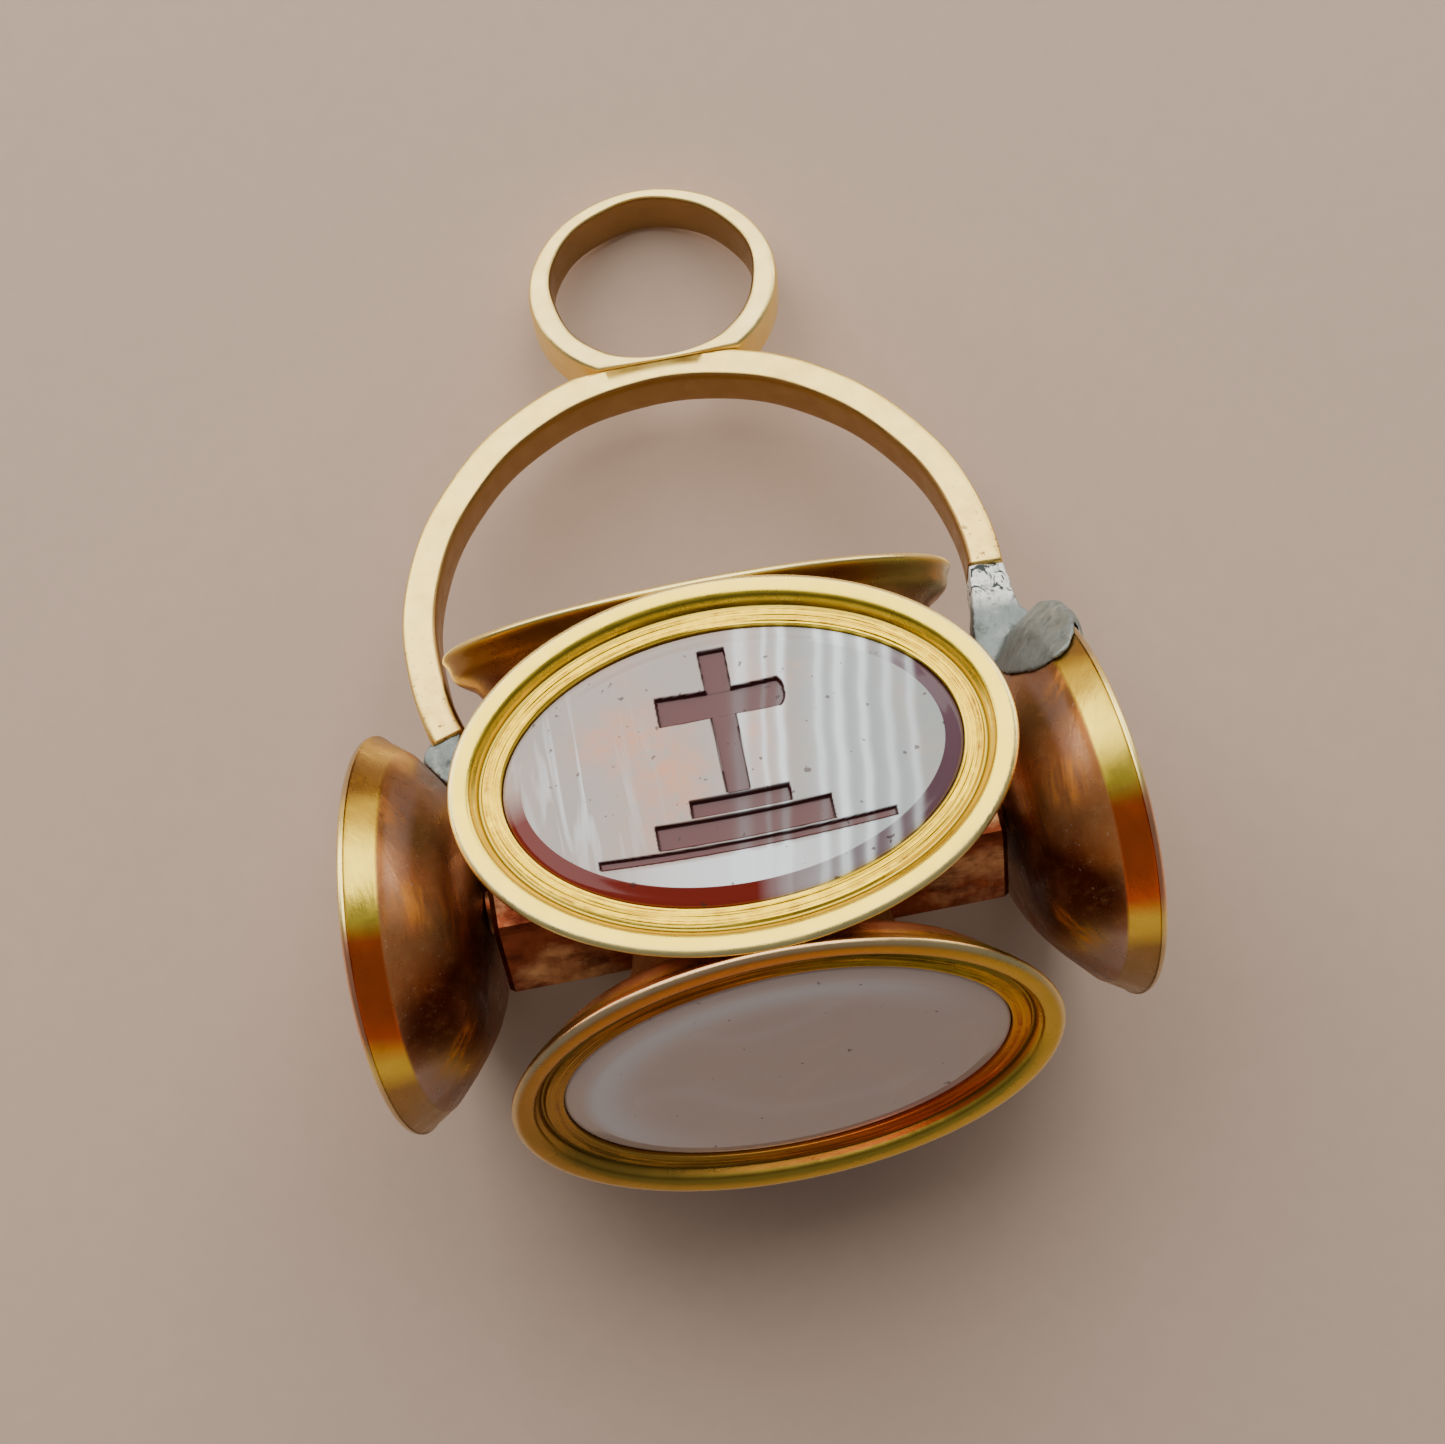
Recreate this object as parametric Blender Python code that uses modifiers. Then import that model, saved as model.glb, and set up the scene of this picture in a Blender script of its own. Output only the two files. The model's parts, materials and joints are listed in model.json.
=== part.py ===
"""Seven-sided swivel intaglio seal: five oval seals on a spinning wheel and two side seals
that hold its axle, under an arched bow with a suspension ring.

The shapes are worked out in a bow frame in millimetres: X along the axle, Y from the axle
toward the suspension ring, Z toward the front seal. The whole seal is then laid down on
its two side seals and its suspension ring, with the floor at Z = 0.
"""
import math

import bpy
import bmesh
from mathutils import Matrix, Vector

for old in list(bpy.data.objects):
    bpy.data.objects.remove(old, do_unlink=True)

# Units
MM = 0.001

# General fits
JOINT_GAP = 0.03          # bare joint line between two soldered pieces
STONE_GAP = 0.04          # stone in its setting, all round
AXLE_CLEARANCE = 0.06     # radial running clearance of the axle in the hub
OVAL_SIDES = 36           # facets round each oval
ROD_SIDES = 32            # facets round the axle and its bore

# Wheel
WHEEL_COUNT = 5
WHEEL_STEP = 2.0 * math.pi / WHEEL_COUNT
WHEEL_TURN = -0.0133      # turn of the wheel in the bow, radians about X
WHEEL_HALF_LONG = 10.95   # rim half length, along the axle
WHEEL_HALF_SHORT = 7.77   # rim half width
RIM_GAP = 0.149           # from a rim's edge to the plane halfway to the next seal
WHEEL_FACE = (WHEEL_HALF_SHORT + RIM_GAP) / math.tan(WHEEL_STEP / 2)
HUB_APOTHEM = 2.90
HUB_SETBACK = 0.35        # hub's end inside the rim's end
HUB_HALF = WHEEL_HALF_LONG - HUB_SETBACK
HUB_BEVEL = 0.22
AXLE_RADIUS = 0.90
AXLE_END_GAP = 0.085      # joint between an axle end and a side seal's back

# Side seals
CUP_HALF_LONG = 12.75
CUP_HALF_SHORT = 8.30
CUP_CLEAR = 0.05          # back of a side seal beyond the wheel's rim ends
CUP_HEIGHT = 3.75
CUP_BACK = WHEEL_HALF_LONG + CUP_CLEAR
CUP_FACE = CUP_BACK + CUP_HEIGHT
CUP_SHIFT = -0.40         # centre of a side seal from the axle, away from the ring
CUP_SPLAY_DEG = 3.4       # ring-side edges lean in toward the wheel
CUP_LEAN_DEG = {-1: 3.0, 1: 0.0}  # upper end of the left seal leans outward

# Rim section shared by all settings: inset from the outline, drop from the rim face
RIM_SECTION = (
    (0.00, 0.15),
    (0.20, 0.00),
    (0.80, 0.00),
    (1.10, 0.42),
    (1.22, 0.55),
    (1.32, 0.42),
)
SEAT_INSET = 2.05
LAND_DROP = 0.42
SEAT_DROP = 1.95

# Back of a wheel setting: inset, drop, from the foot on the hub up to the crease
WHEEL_FOOT_INSET = 5.75
WHEEL_BACK = (
    (5.40, 5.60),
    (4.30, 4.40),
    (2.90, 3.40),
    (1.75, 2.50),
    (0.75, 1.15),
)

# Back of a side setting: inset, drop
CUP_BACK_SECTION = (
    (6.40, CUP_HEIGHT),
    (4.90, 3.68),
    (3.50, 3.38),
    (2.45, 2.70),
    (0.80, 1.34),
)

# Stones
STONE_BEVEL = 0.72
STONE_RISE = 0.60
STONE_GIRDLE_DROP = 0.95

# Cross cut into the front stone
CROSS_DEPTH = 0.24
BAR_TOP = 4.84
BAR_HALF_TOP = 0.56
BAR_HALF_FOOT = 0.48
ARM_HALF = 2.52
ARM_LOW = 1.94
ARM_HIGH = 3.12
STEP_ONE_HALF = 1.95
STEP_ONE_TOP = -1.29
STEP_TWO_HALF = 3.40
STEP_TWO_TOP = -2.09
GROUND_HALF = 0.70 * (WHEEL_HALF_LONG - SEAT_INSET - STONE_GAP - STONE_BEVEL)
GROUND_TOP = -3.13
GROUND_FOOT = -3.38
HAND_LIFT = 0.006         # upward bow of the hand-cut level lines, by half width squared

# Bow
BOW_X = 0.45
BOW_RISE = 3.47           # centre of the arch above the side seals' ring-side edge
BOW_Y = CUP_HALF_SHORT + BOW_RISE
BOW_INSET = 1.53          # outside of the arch, inside the side seals' faces
BOW_OUTER = CUP_FACE - BOW_INSET
BOW_THICKNESS = 1.56
BOW_INNER = BOW_OUTER - BOW_THICKNESS
BOW_DEPTH = 2.27
BOW_BEVEL = 0.09
BOW_SIDES = 52
BOW_RIGHT_DEG = -2.6
BOW_LEFT_DEG = 198.6
SEAT_FILED = 0.61         # depth of the flat filed on the bow for the suspension ring
SEAT_Y = BOW_Y + BOW_OUTER - SEAT_FILED

# Suspension ring
RING_X = 1.16
RING_OUT_HALF = (5.83, 5.25)
RING_FILED = 0.88         # depth of the flat filed on the ring
RING_OUT_Y = SEAT_Y + RING_OUT_HALF[1] - RING_FILED
RING_BORE_LIFT = 0.25
RING_IN_Y = RING_OUT_Y + RING_BORE_LIFT
RING_IN_HALF = (4.68, 4.35)
RING_DEPTH = 2.50
RING_BEVEL = 0.12
RING_SIDES = 44

# Soft solder repairs, given from the bow's outer right or left corner of the strip
RIGHT_X = BOW_X + BOW_OUTER
LEFT_X = BOW_X - BOW_OUTER
PLATE_HALF_DEPTH = 1.10
RIGHT_PLATE = (
    (-1.56, -0.45),
    (0.00, -0.45),
    (0.05, -2.10),
    (0.18, -2.90),
    (0.62, -3.40),
    (-0.50, -5.40),
    (-1.80, -6.60),
    (-2.25, -5.00),
    (-2.12, -3.67),
    (-1.81, -2.17),
)
LEFT_PLATE = (
    (1.95, -3.55),
    (0.65, -3.95),
    (0.20, -4.60),
    (0.05, -5.60),
    (1.40, -7.50),
    (1.95, -5.60),
)
SHEET_THICKNESS = 0.30    # solder smeared over the right seal's back
SHEET_INSET = 1.45
SHEET_DROP = 2.90
SHEET_FORWARD = 4.80
SHEET_AT = (CUP_FACE - SHEET_INSET, CUP_HALF_SHORT - SHEET_DROP, SHEET_FORWARD)
SHEET_HALF = (1.90, 1.90, 6.00)
SHEET_TURN_DEG = 27.9
SHEET_SIDES = 20
SHEET_RINGS = 12
STRIP_CUT_DEG = 22.0      # stretch of the bow's strip that is kept clear of solder

# Lying down: the tilt at which ring and side seals touch the floor together
REST_HEIGHT = CUP_HALF_LONG * math.cos(math.pi / OVAL_SIDES)
RING_TOP = RING_OUT_Y + RING_OUT_HALF[1]
RING_REACH = math.hypot(RING_TOP, RING_DEPTH / 2)
LIE_TILT = math.asin(REST_HEIGHT / RING_REACH) - math.atan2(RING_DEPTH / 2, RING_TOP)

parts = bpy.data.collections.new("intaglio_seal")
cutters = bpy.data.collections.new("cutters")
bpy.context.scene.collection.children.link(parts)
bpy.context.scene.collection.children.link(cutters)


def material(name, colour, metallic, roughness):
    """One Principled material."""
    mat = bpy.data.materials.new(name)
    mat.use_nodes = True
    shader = mat.node_tree.nodes["Principled BSDF"]
    shader.inputs["Base Color"].default_value = (*colour, 1.0)
    shader.inputs["Metallic"].default_value = metallic
    shader.inputs["Roughness"].default_value = roughness
    return mat


def gold(name, shade=1.0):
    """Worn low-carat gold."""
    return material(name, (0.78 * shade, 0.50 * shade, 0.24 * shade), 1.0, 0.25)


def place(ob, collection, mat=None):
    """Moves an object to a collection and gives it its material."""
    for home in list(ob.users_collection):
        home.objects.unlink(ob)
    collection.objects.link(ob)
    if mat:
        ob.data.materials.clear()
        ob.data.materials.append(mat)
    return ob


def oval(half_long, half_short, height):
    """Points of one oval section, with a facet rather than a corner at each end."""
    step = 2 * math.pi / OVAL_SIDES
    return [
        Vector((half_long * math.cos((i + 0.5) * step), half_short * math.sin((i + 0.5) * step), height))
        for i in range(OVAL_SIDES)
    ]


def loft(name, sections):
    """Closed solid through a list of equal-count sections, capped at both ends."""
    bm = bmesh.new()
    rows = [[bm.verts.new(p * MM) for p in section] for section in sections]
    for low, high in zip(rows, rows[1:]):
        count = len(low)
        for i in range(count):
            j = (i + 1) % count
            bm.faces.new((low[i], low[j], high[j], high[i]))
    bm.faces.new(list(reversed(rows[0])))
    bm.faces.new(rows[-1])
    bmesh.ops.recalc_face_normals(bm, faces=bm.faces)
    mesh = bpy.data.meshes.new(name)
    bm.to_mesh(mesh)
    bm.free()
    ob = bpy.data.objects.new(name, mesh)
    parts.objects.link(ob)
    return ob


def flat_outline(name, loops, half_depth):
    """Extruded flat outline from closed loops of XY points; inner loops are holes."""
    curve = bpy.data.curves.new(name, "CURVE")
    curve.dimensions = "2D"
    curve.fill_mode = "BOTH"
    curve.extrude = half_depth * MM
    for points in loops:
        spline = curve.splines.new("POLY")
        spline.points.add(len(points) - 1)
        for slot, (x, y) in zip(spline.points, points):
            slot.co = (x * MM, y * MM, 0.0, 1.0)
        spline.use_cyclic_u = True
    ob = bpy.data.objects.new(name + "_outline", curve)
    cutters.objects.link(ob)
    depsgraph = bpy.context.evaluated_depsgraph_get()
    mesh = bpy.data.meshes.new_from_object(ob.evaluated_get(depsgraph))
    mesh.name = name
    bm = bmesh.new()
    bm.from_mesh(mesh)
    bmesh.ops.remove_doubles(bm, verts=bm.verts, dist=1e-7)
    bmesh.ops.recalc_face_normals(bm, faces=bm.faces)
    bm.to_mesh(mesh)
    bm.free()
    solid = bpy.data.objects.new(name, mesh)
    parts.objects.link(solid)
    bpy.data.objects.remove(ob, do_unlink=True)
    return solid


def boolean(target, cutter, operation):
    """Exact Boolean on a target; the cutter is kept aside as a wire."""
    mod = target.modifiers.new(operation.lower(), "BOOLEAN")
    mod.operation = operation
    mod.solver = "EXACT"
    mod.object = cutter
    place(cutter, cutters)
    cutter.hide_render = True
    cutter.display_type = "WIRE"
    return mod


def ring_points(cx, cy, rx, ry, sides):
    """Points of an ellipse in the bow plane."""
    return [
        (cx + rx * math.cos(2 * math.pi * i / sides), cy + ry * math.sin(2 * math.pi * i / sides))
        for i in range(sides)
    ]


def setting_sections(half_long, half_short, back):
    """Oval sections of a setting, from the foot of its back round the rim to the stone's seat."""
    steps = list(back) + list(RIM_SECTION)
    steps += [(SEAT_INSET, LAND_DROP), (SEAT_INSET, SEAT_DROP)]
    return [oval(half_long - inset, half_short - inset, -drop) for inset, drop in steps]


def stone_sections(half_long, half_short):
    """Oval sections of a flat bevelled stone, from its underside to its table."""
    edge = SEAT_INSET + STONE_GAP
    table = edge + STONE_BEVEL
    floor = SEAT_DROP - STONE_GAP
    top = STONE_GIRDLE_DROP - STONE_RISE
    return [
        oval(half_long - edge, half_short - edge, -floor),
        oval(half_long - edge, half_short - edge, -STONE_GIRDLE_DROP),
        oval(half_long - table, half_short - table, -top),
    ]


def set_frame(ob, frame):
    """Applies a placement given in the bow frame, in millimetres, to the mesh itself."""
    scaled = frame.copy()
    scaled.translation = scaled.translation * MM
    ob.data.transform(scaled)
    return ob


def wheel_frame(index):
    """Placement of wheel seal number index, face outward from the axle."""
    turn = WHEEL_TURN + index * WHEEL_STEP
    return Matrix.Rotation(turn, 4, "X") @ Matrix.Translation((0, 0, WHEEL_FACE))


def side_frame(side):
    """Placement of a side seal, face outward along the axle, its length upright at rest."""
    outward = Matrix.Rotation(side * math.pi / 2, 4, "Y")
    splay = Matrix.Rotation(side * math.radians(CUP_SPLAY_DEG), 4, "Z")
    lean = Matrix.Rotation(side * math.radians(CUP_LEAN_DEG[side]), 4, "Y")
    upright = Matrix.Rotation(LIE_TILT, 4, "X")
    back = Matrix.Translation((side * CUP_BACK, CUP_SHIFT, 0))
    return upright @ back @ splay @ Matrix.Translation((side * CUP_HEIGHT, 0, 0)) @ lean @ outward


def make_setting(name, half_long, half_short, back, frame, mat):
    """One oval gold setting."""
    ob = loft(name, setting_sections(half_long, half_short, back))
    set_frame(ob, frame)
    return place(ob, parts, mat)


def make_stone(name, half_long, half_short, frame, mat):
    """One flat stone with a bevelled edge."""
    ob = loft(name, stone_sections(half_long, half_short))
    set_frame(ob, frame)
    return place(ob, parts, mat)


def cross_outline():
    """Cross on two steps with a ground line, as one closed outline."""
    right = [
        (BAR_HALF_TOP, BAR_TOP),
        (BAR_HALF_TOP, ARM_HIGH),
        (ARM_HALF, ARM_HIGH),
        (ARM_HALF, ARM_LOW),
        (BAR_HALF_TOP, ARM_LOW),
        (BAR_HALF_FOOT, STEP_ONE_TOP),
        (STEP_ONE_HALF, STEP_ONE_TOP),
        (STEP_ONE_HALF, STEP_TWO_TOP),
        (STEP_TWO_HALF, STEP_TWO_TOP),
        (STEP_TWO_HALF, GROUND_TOP),
        (GROUND_HALF, GROUND_TOP),
        (GROUND_HALF, GROUND_FOOT),
    ]
    right = [(x, y + HAND_LIFT * x * x) for x, y in right]
    left = [(-x, y) for x, y in reversed(right)]
    return right + left


def sink_cross(stone, frame):
    """Cuts the cross into a stone's table."""
    cutter = flat_outline("cross_cutter", [cross_outline()], CROSS_DEPTH)
    table = STONE_GIRDLE_DROP - STONE_RISE
    cutter.data.transform(Matrix.Translation((0, 0, -table * MM)))
    set_frame(cutter, frame)
    boolean(stone, cutter, "DIFFERENCE")


def make_hub():
    """Five-sided bar with a bore for the axle."""
    across = HUB_APOTHEM / math.cos(math.pi / WHEEL_COUNT)
    bpy.ops.mesh.primitive_cylinder_add(
        vertices=WHEEL_COUNT, radius=across * MM, depth=2 * HUB_HALF * MM, end_fill_type="NGON"
    )
    hub = bpy.context.object
    hub.name = "hub"
    hub.data.transform(Matrix.Rotation(math.pi / 2, 4, "Y"))
    corner = max(hub.data.vertices, key=lambda v: v.co.z)
    lean = math.atan2(-corner.co.y, corner.co.z)
    hub.data.transform(Matrix.Rotation(WHEEL_TURN + WHEEL_STEP / 2 - lean, 4, "X"))
    edge = hub.modifiers.new("edge", "BEVEL")
    edge.width = HUB_BEVEL * MM
    edge.segments = 1
    edge.limit_method = "ANGLE"
    edge.angle_limit = math.radians(40)
    bore_radius = AXLE_RADIUS + AXLE_CLEARANCE
    bpy.ops.mesh.primitive_cylinder_add(vertices=ROD_SIDES, radius=bore_radius * MM, depth=3 * HUB_HALF * MM)
    bore = bpy.context.object
    bore.name = "hub_bore"
    bore.data.transform(Matrix.Rotation(math.pi / 2, 4, "Y"))
    boolean(hub, bore, "DIFFERENCE")
    return place(hub, parts, gold("hub_gold", 0.8))


def make_axle():
    """Plain rod held between the two side seals."""
    length = 2 * (CUP_BACK - AXLE_END_GAP)
    bpy.ops.mesh.primitive_cylinder_add(vertices=ROD_SIDES, radius=AXLE_RADIUS * MM, depth=length * MM)
    axle = bpy.context.object
    axle.name = "axle"
    axle.data.transform(Matrix.Rotation(math.pi / 2, 4, "Y"))
    return place(axle, parts, gold("axle_gold", 0.7))


def make_bow():
    """Flat strip bent to an arch, with a flat filed on top for the ring."""
    start = math.radians(BOW_RIGHT_DEG)
    sweep = math.radians(BOW_LEFT_DEG - BOW_RIGHT_DEG)
    turns = [start + sweep * i / BOW_SIDES for i in range(BOW_SIDES + 1)]
    outer = [(BOW_X + BOW_OUTER * math.cos(t), BOW_Y + BOW_OUTER * math.sin(t)) for t in turns]
    outer = [(x, min(y, SEAT_Y)) for x, y in outer]
    inner = [(BOW_X + BOW_INNER * math.cos(t), BOW_Y + BOW_INNER * math.sin(t)) for t in reversed(turns)]
    bow = flat_outline("bow", [outer + inner], BOW_DEPTH / 2)
    soften(bow, BOW_BEVEL)
    return place(bow, parts, gold("bow_gold"))


def soften(ob, width):
    """Small bevel on the sharp long edges."""
    edge = ob.modifiers.new("edge", "BEVEL")
    edge.width = width * MM
    edge.segments = 1
    edge.limit_method = "ANGLE"
    edge.angle_limit = math.radians(50)


def make_suspension_ring():
    """Oval ring, filed flat where it is soldered to the bow."""
    outer = ring_points(RING_X, RING_OUT_Y, *RING_OUT_HALF, RING_SIDES)
    outer = [(x, max(y, SEAT_Y + JOINT_GAP)) for x, y in outer]
    flat = [i for i, (x, y) in enumerate(outer) if y == SEAT_Y + JOINT_GAP]
    outer = [p for i, p in enumerate(outer) if i not in flat[1:-1]]
    inner = ring_points(RING_X, RING_IN_Y, *RING_IN_HALF, RING_SIDES)
    ring = flat_outline("suspension_ring", [outer, inner], RING_DEPTH / 2)
    soften(ring, RING_BEVEL)
    return place(ring, parts, gold("ring_gold"))


def cup_shell(name, side, grown):
    """Outside of a side seal grown by a distance, closed over its face."""
    rim = ((0.0, 0.15), (0.0, 0.0))
    sections = [
        oval(CUP_HALF_LONG - inset + grown, CUP_HALF_SHORT - inset + grown, -drop)
        for inset, drop in CUP_BACK_SECTION + rim
    ]
    first = [p - Vector((0, 0, grown)) for p in sections[0]]
    last = [p + Vector((0, 0, grown)) for p in sections[-1]]
    ob = loft(name, [first] + sections[1:-1] + [last])
    return set_frame(ob, side_frame(side))


def strip_clearance(name, low_deg, high_deg):
    """Bow strip grown by the joint line, as a cutter for the solder."""
    steps = 8
    turns = [math.radians(low_deg + (high_deg - low_deg) * i / steps) for i in range(steps + 1)]
    out_r, in_r = BOW_OUTER + JOINT_GAP, BOW_INNER - JOINT_GAP
    outer = [(BOW_X + out_r * math.cos(t), BOW_Y + out_r * math.sin(t)) for t in turns]
    inner = [(BOW_X + in_r * math.cos(t), BOW_Y + in_r * math.sin(t)) for t in reversed(turns)]
    return flat_outline(name, [outer + inner], BOW_DEPTH / 2 + JOINT_GAP)


def plate(name, corner_x, outline):
    """Flat plate of solder from corners given off one end of the bow."""
    return flat_outline(name, [[(corner_x + x, BOW_Y + y) for x, y in outline]], PLATE_HALF_DEPTH)


def make_sheet():
    """Solder smeared over the right seal's back: the seal's grown outside within an egg shape."""
    sheet = cup_shell("sheet", 1, SHEET_THICKNESS)
    bpy.ops.mesh.primitive_uv_sphere_add(segments=SHEET_SIDES, ring_count=SHEET_RINGS, radius=1.0)
    egg = bpy.context.object
    egg.name = "sheet_egg"
    egg.data.transform(Matrix.Diagonal((SHEET_HALF[0] * MM, SHEET_HALF[1] * MM, SHEET_HALF[2] * MM, 1.0)))
    egg.data.transform(Matrix.Rotation(math.radians(SHEET_TURN_DEG), 4, "X"))
    egg.data.transform(Matrix.Translation(Vector(SHEET_AT) * MM))
    boolean(sheet, egg, "INTERSECT")
    return sheet


def make_right_solder():
    """Splice that carries on the bow strip and spreads over the right seal's back."""
    mat = material("right_solder_grey", (0.33, 0.35, 0.34), 1.0, 0.45)
    solder = plate("right_solder", RIGHT_X, RIGHT_PLATE)
    boolean(solder, make_sheet(), "UNION")
    gap = math.degrees(JOINT_GAP / BOW_INNER)
    boolean(solder, cup_shell("right_clearance", 1, JOINT_GAP), "DIFFERENCE")
    boolean(solder, strip_clearance("right_strip", BOW_RIGHT_DEG - gap, STRIP_CUT_DEG), "DIFFERENCE")
    return place(solder, parts, mat)


def make_left_solder():
    """Small plate between the bow's end and the left seal's back."""
    mat = material("left_solder_grey", (0.33, 0.35, 0.34), 1.0, 0.45)
    solder = plate("left_solder", LEFT_X, LEFT_PLATE)
    gap = math.degrees(JOINT_GAP / BOW_INNER)
    boolean(solder, cup_shell("left_clearance", -1, JOINT_GAP), "DIFFERENCE")
    boolean(solder, strip_clearance("left_strip", 180 - STRIP_CUT_DEG, BOW_LEFT_DEG + gap), "DIFFERENCE")
    return place(solder, parts, mat)


STONE_COLOURS = {
    "front": (0.46, 0.36, 0.35),
    "upper": (0.45, 0.12, 0.05),
    "rear": (0.30, 0.20, 0.14),
    "under": (0.40, 0.10, 0.05),
    "lower": (0.30, 0.25, 0.21),
    "left": (0.42, 0.11, 0.05),
    "right": (0.10, 0.16, 0.11),
}

# Wheel seals in turning order from the front one
WHEEL_NAMES = ("front", "lower", "under", "rear", "upper")
WHEEL_BACK_FULL = ((WHEEL_FOOT_INSET, WHEEL_FACE - HUB_APOTHEM - JOINT_GAP),) + WHEEL_BACK

moving = []
for number, seal in enumerate(WHEEL_NAMES):
    where = wheel_frame(number)
    moving.append(
        make_setting(
            seal + "_setting", WHEEL_HALF_LONG, WHEEL_HALF_SHORT, WHEEL_BACK_FULL, where, gold(seal + "_gold")
        )
    )
    stone_mat = material(seal + "_agate", STONE_COLOURS[seal], 0.0, 0.12)
    stone_ob = make_stone(seal + "_stone", WHEEL_HALF_LONG, WHEEL_HALF_SHORT, where, stone_mat)
    moving.append(stone_ob)
    if seal == "front":
        sink_cross(stone_ob, where)
moving.append(make_hub())

for seal, direction in (("left", -1), ("right", 1)):
    where = side_frame(direction)
    make_setting(seal + "_setting", CUP_HALF_LONG, CUP_HALF_SHORT, CUP_BACK_SECTION, where, gold(seal + "_gold"))
    stone_mat = material(seal + "_agate", STONE_COLOURS[seal], 0.0, 0.12)
    make_stone(seal + "_stone", CUP_HALF_LONG, CUP_HALF_SHORT, where, stone_mat)

make_axle()
make_bow()
make_suspension_ring()
make_right_solder()
make_left_solder()

# Lay the seal down, centred over the floor's origin
lay_down = Matrix.Translation((0, 0, REST_HEIGHT * MM)) @ Matrix.Rotation(-LIE_TILT, 4, "X")
everything = list(parts.objects) + list(cutters.objects)
for ob in everything:
    ob.matrix_world = lay_down @ ob.matrix_world
bpy.context.view_layer.update()
graph = bpy.context.evaluated_depsgraph_get()
depths = []
for ob in parts.objects:
    solid = ob.evaluated_get(graph)
    depths += [(ob.matrix_world @ v.co).y for v in solid.data.vertices]
centre = Matrix.Translation((0, -(min(depths) + max(depths)) / 2, 0))
for ob in everything:
    ob.matrix_world = centre @ ob.matrix_world
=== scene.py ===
import json
import math

import bmesh
import bpy
import numpy as np
from mathutils import Matrix


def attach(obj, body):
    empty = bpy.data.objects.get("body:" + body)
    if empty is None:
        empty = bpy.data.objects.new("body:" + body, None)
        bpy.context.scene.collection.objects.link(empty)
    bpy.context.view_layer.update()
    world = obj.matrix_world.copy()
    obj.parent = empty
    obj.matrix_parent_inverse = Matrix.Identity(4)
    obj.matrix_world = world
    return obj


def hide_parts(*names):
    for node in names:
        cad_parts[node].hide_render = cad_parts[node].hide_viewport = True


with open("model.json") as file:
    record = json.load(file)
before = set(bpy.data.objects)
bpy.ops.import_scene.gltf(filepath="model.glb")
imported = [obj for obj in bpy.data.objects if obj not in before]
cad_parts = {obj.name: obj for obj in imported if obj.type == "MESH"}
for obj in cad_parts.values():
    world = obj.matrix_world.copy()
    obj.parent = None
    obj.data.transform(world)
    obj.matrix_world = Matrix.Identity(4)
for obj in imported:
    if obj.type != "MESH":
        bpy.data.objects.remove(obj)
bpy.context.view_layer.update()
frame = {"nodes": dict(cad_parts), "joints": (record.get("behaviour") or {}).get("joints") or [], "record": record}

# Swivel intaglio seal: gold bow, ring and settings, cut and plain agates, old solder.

# Hub and axle
# The wheel's core is a five-sided gold bar, sawn and filed, that turns on a plain gold rod.
# Both solids have the true shape already, so they stay and only get their metal.
# Sizes of the pieces are in millimetres.
MM = 0.001
WHEEL_BODY = "seal_wheel"
BOW_BODY = "bow_frame"
HUB_COPPER = (0.30, 0.075, 0.030)
HUB_TAN = (0.66, 0.36, 0.17)
HUB_STAIN = (0.07, 0.010, 0.008)


def socket_value(shader, **values):
    """Sets constants on the shader's own sockets, by name with underscores for spaces."""
    for key, value in values.items():
        shader.inputs[key.replace("_", " ")].default_value = value


def new_material(name):
    """Empty node material with its Principled shader."""
    mat = bpy.data.materials.new(name)
    mat.use_nodes = True
    return mat, mat.node_tree, mat.node_tree.nodes["Principled BSDF"]


def noise(tree, scale, detail=4.0, rough=0.55, stretch=(1, 1, 1), distortion=0.0):
    """Noise on Object coordinates; scale is in repeats a metre, stretched by a Mapping node."""
    coords = tree.nodes.new("ShaderNodeTexCoord")
    mapping = tree.nodes.new("ShaderNodeMapping")
    mapping.inputs["Scale"].default_value = stretch
    texture = tree.nodes.new("ShaderNodeTexNoise")
    texture.inputs["Scale"].default_value = scale
    texture.inputs["Detail"].default_value = detail
    texture.inputs["Roughness"].default_value = rough
    texture.inputs["Distortion"].default_value = distortion
    tree.links.new(coords.outputs["Object"], mapping.inputs["Vector"])
    tree.links.new(mapping.outputs["Vector"], texture.inputs["Vector"])
    return texture.outputs["Fac"]


def ramp(tree, value, low, high):
    """Value stretched so that low becomes 0 and high becomes 1, clipped."""
    node = tree.nodes.new("ShaderNodeMapRange")
    node.inputs["From Min"].default_value = low
    node.inputs["From Max"].default_value = high
    node.clamp = True
    tree.links.new(value, node.inputs["Value"])
    return node.outputs["Result"]


def blend(tree, factor, first, second):
    """Colour mix; a colour is three numbers or another node's output."""
    node = tree.nodes.new("ShaderNodeMix")
    node.data_type = "RGBA"
    for key, colour in (("A", first), ("B", second)):
        slot = next(s for s in node.inputs if s.name == key and s.type == "RGBA")
        if isinstance(colour, tuple):
            slot.default_value = (*colour, 1.0)
        else:
            tree.links.new(colour, slot)
    tree.links.new(factor, node.inputs["Factor"])
    return next(s for s in node.outputs if s.type == "RGBA")


def times(tree, first, second):
    """Product of two values; the second may be a number."""
    node = tree.nodes.new("ShaderNodeMath")
    node.operation = "MULTIPLY"
    tree.links.new(first, node.inputs[0])
    if isinstance(second, float):
        node.inputs[1].default_value = second
    else:
        tree.links.new(second, node.inputs[1])
    return node.outputs[0]


def painted(tree, name):
    """Value painted on the mesh's vertices."""
    node = tree.nodes.new("ShaderNodeAttribute")
    node.attribute_name = name
    return node.outputs["Fac"]


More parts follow.
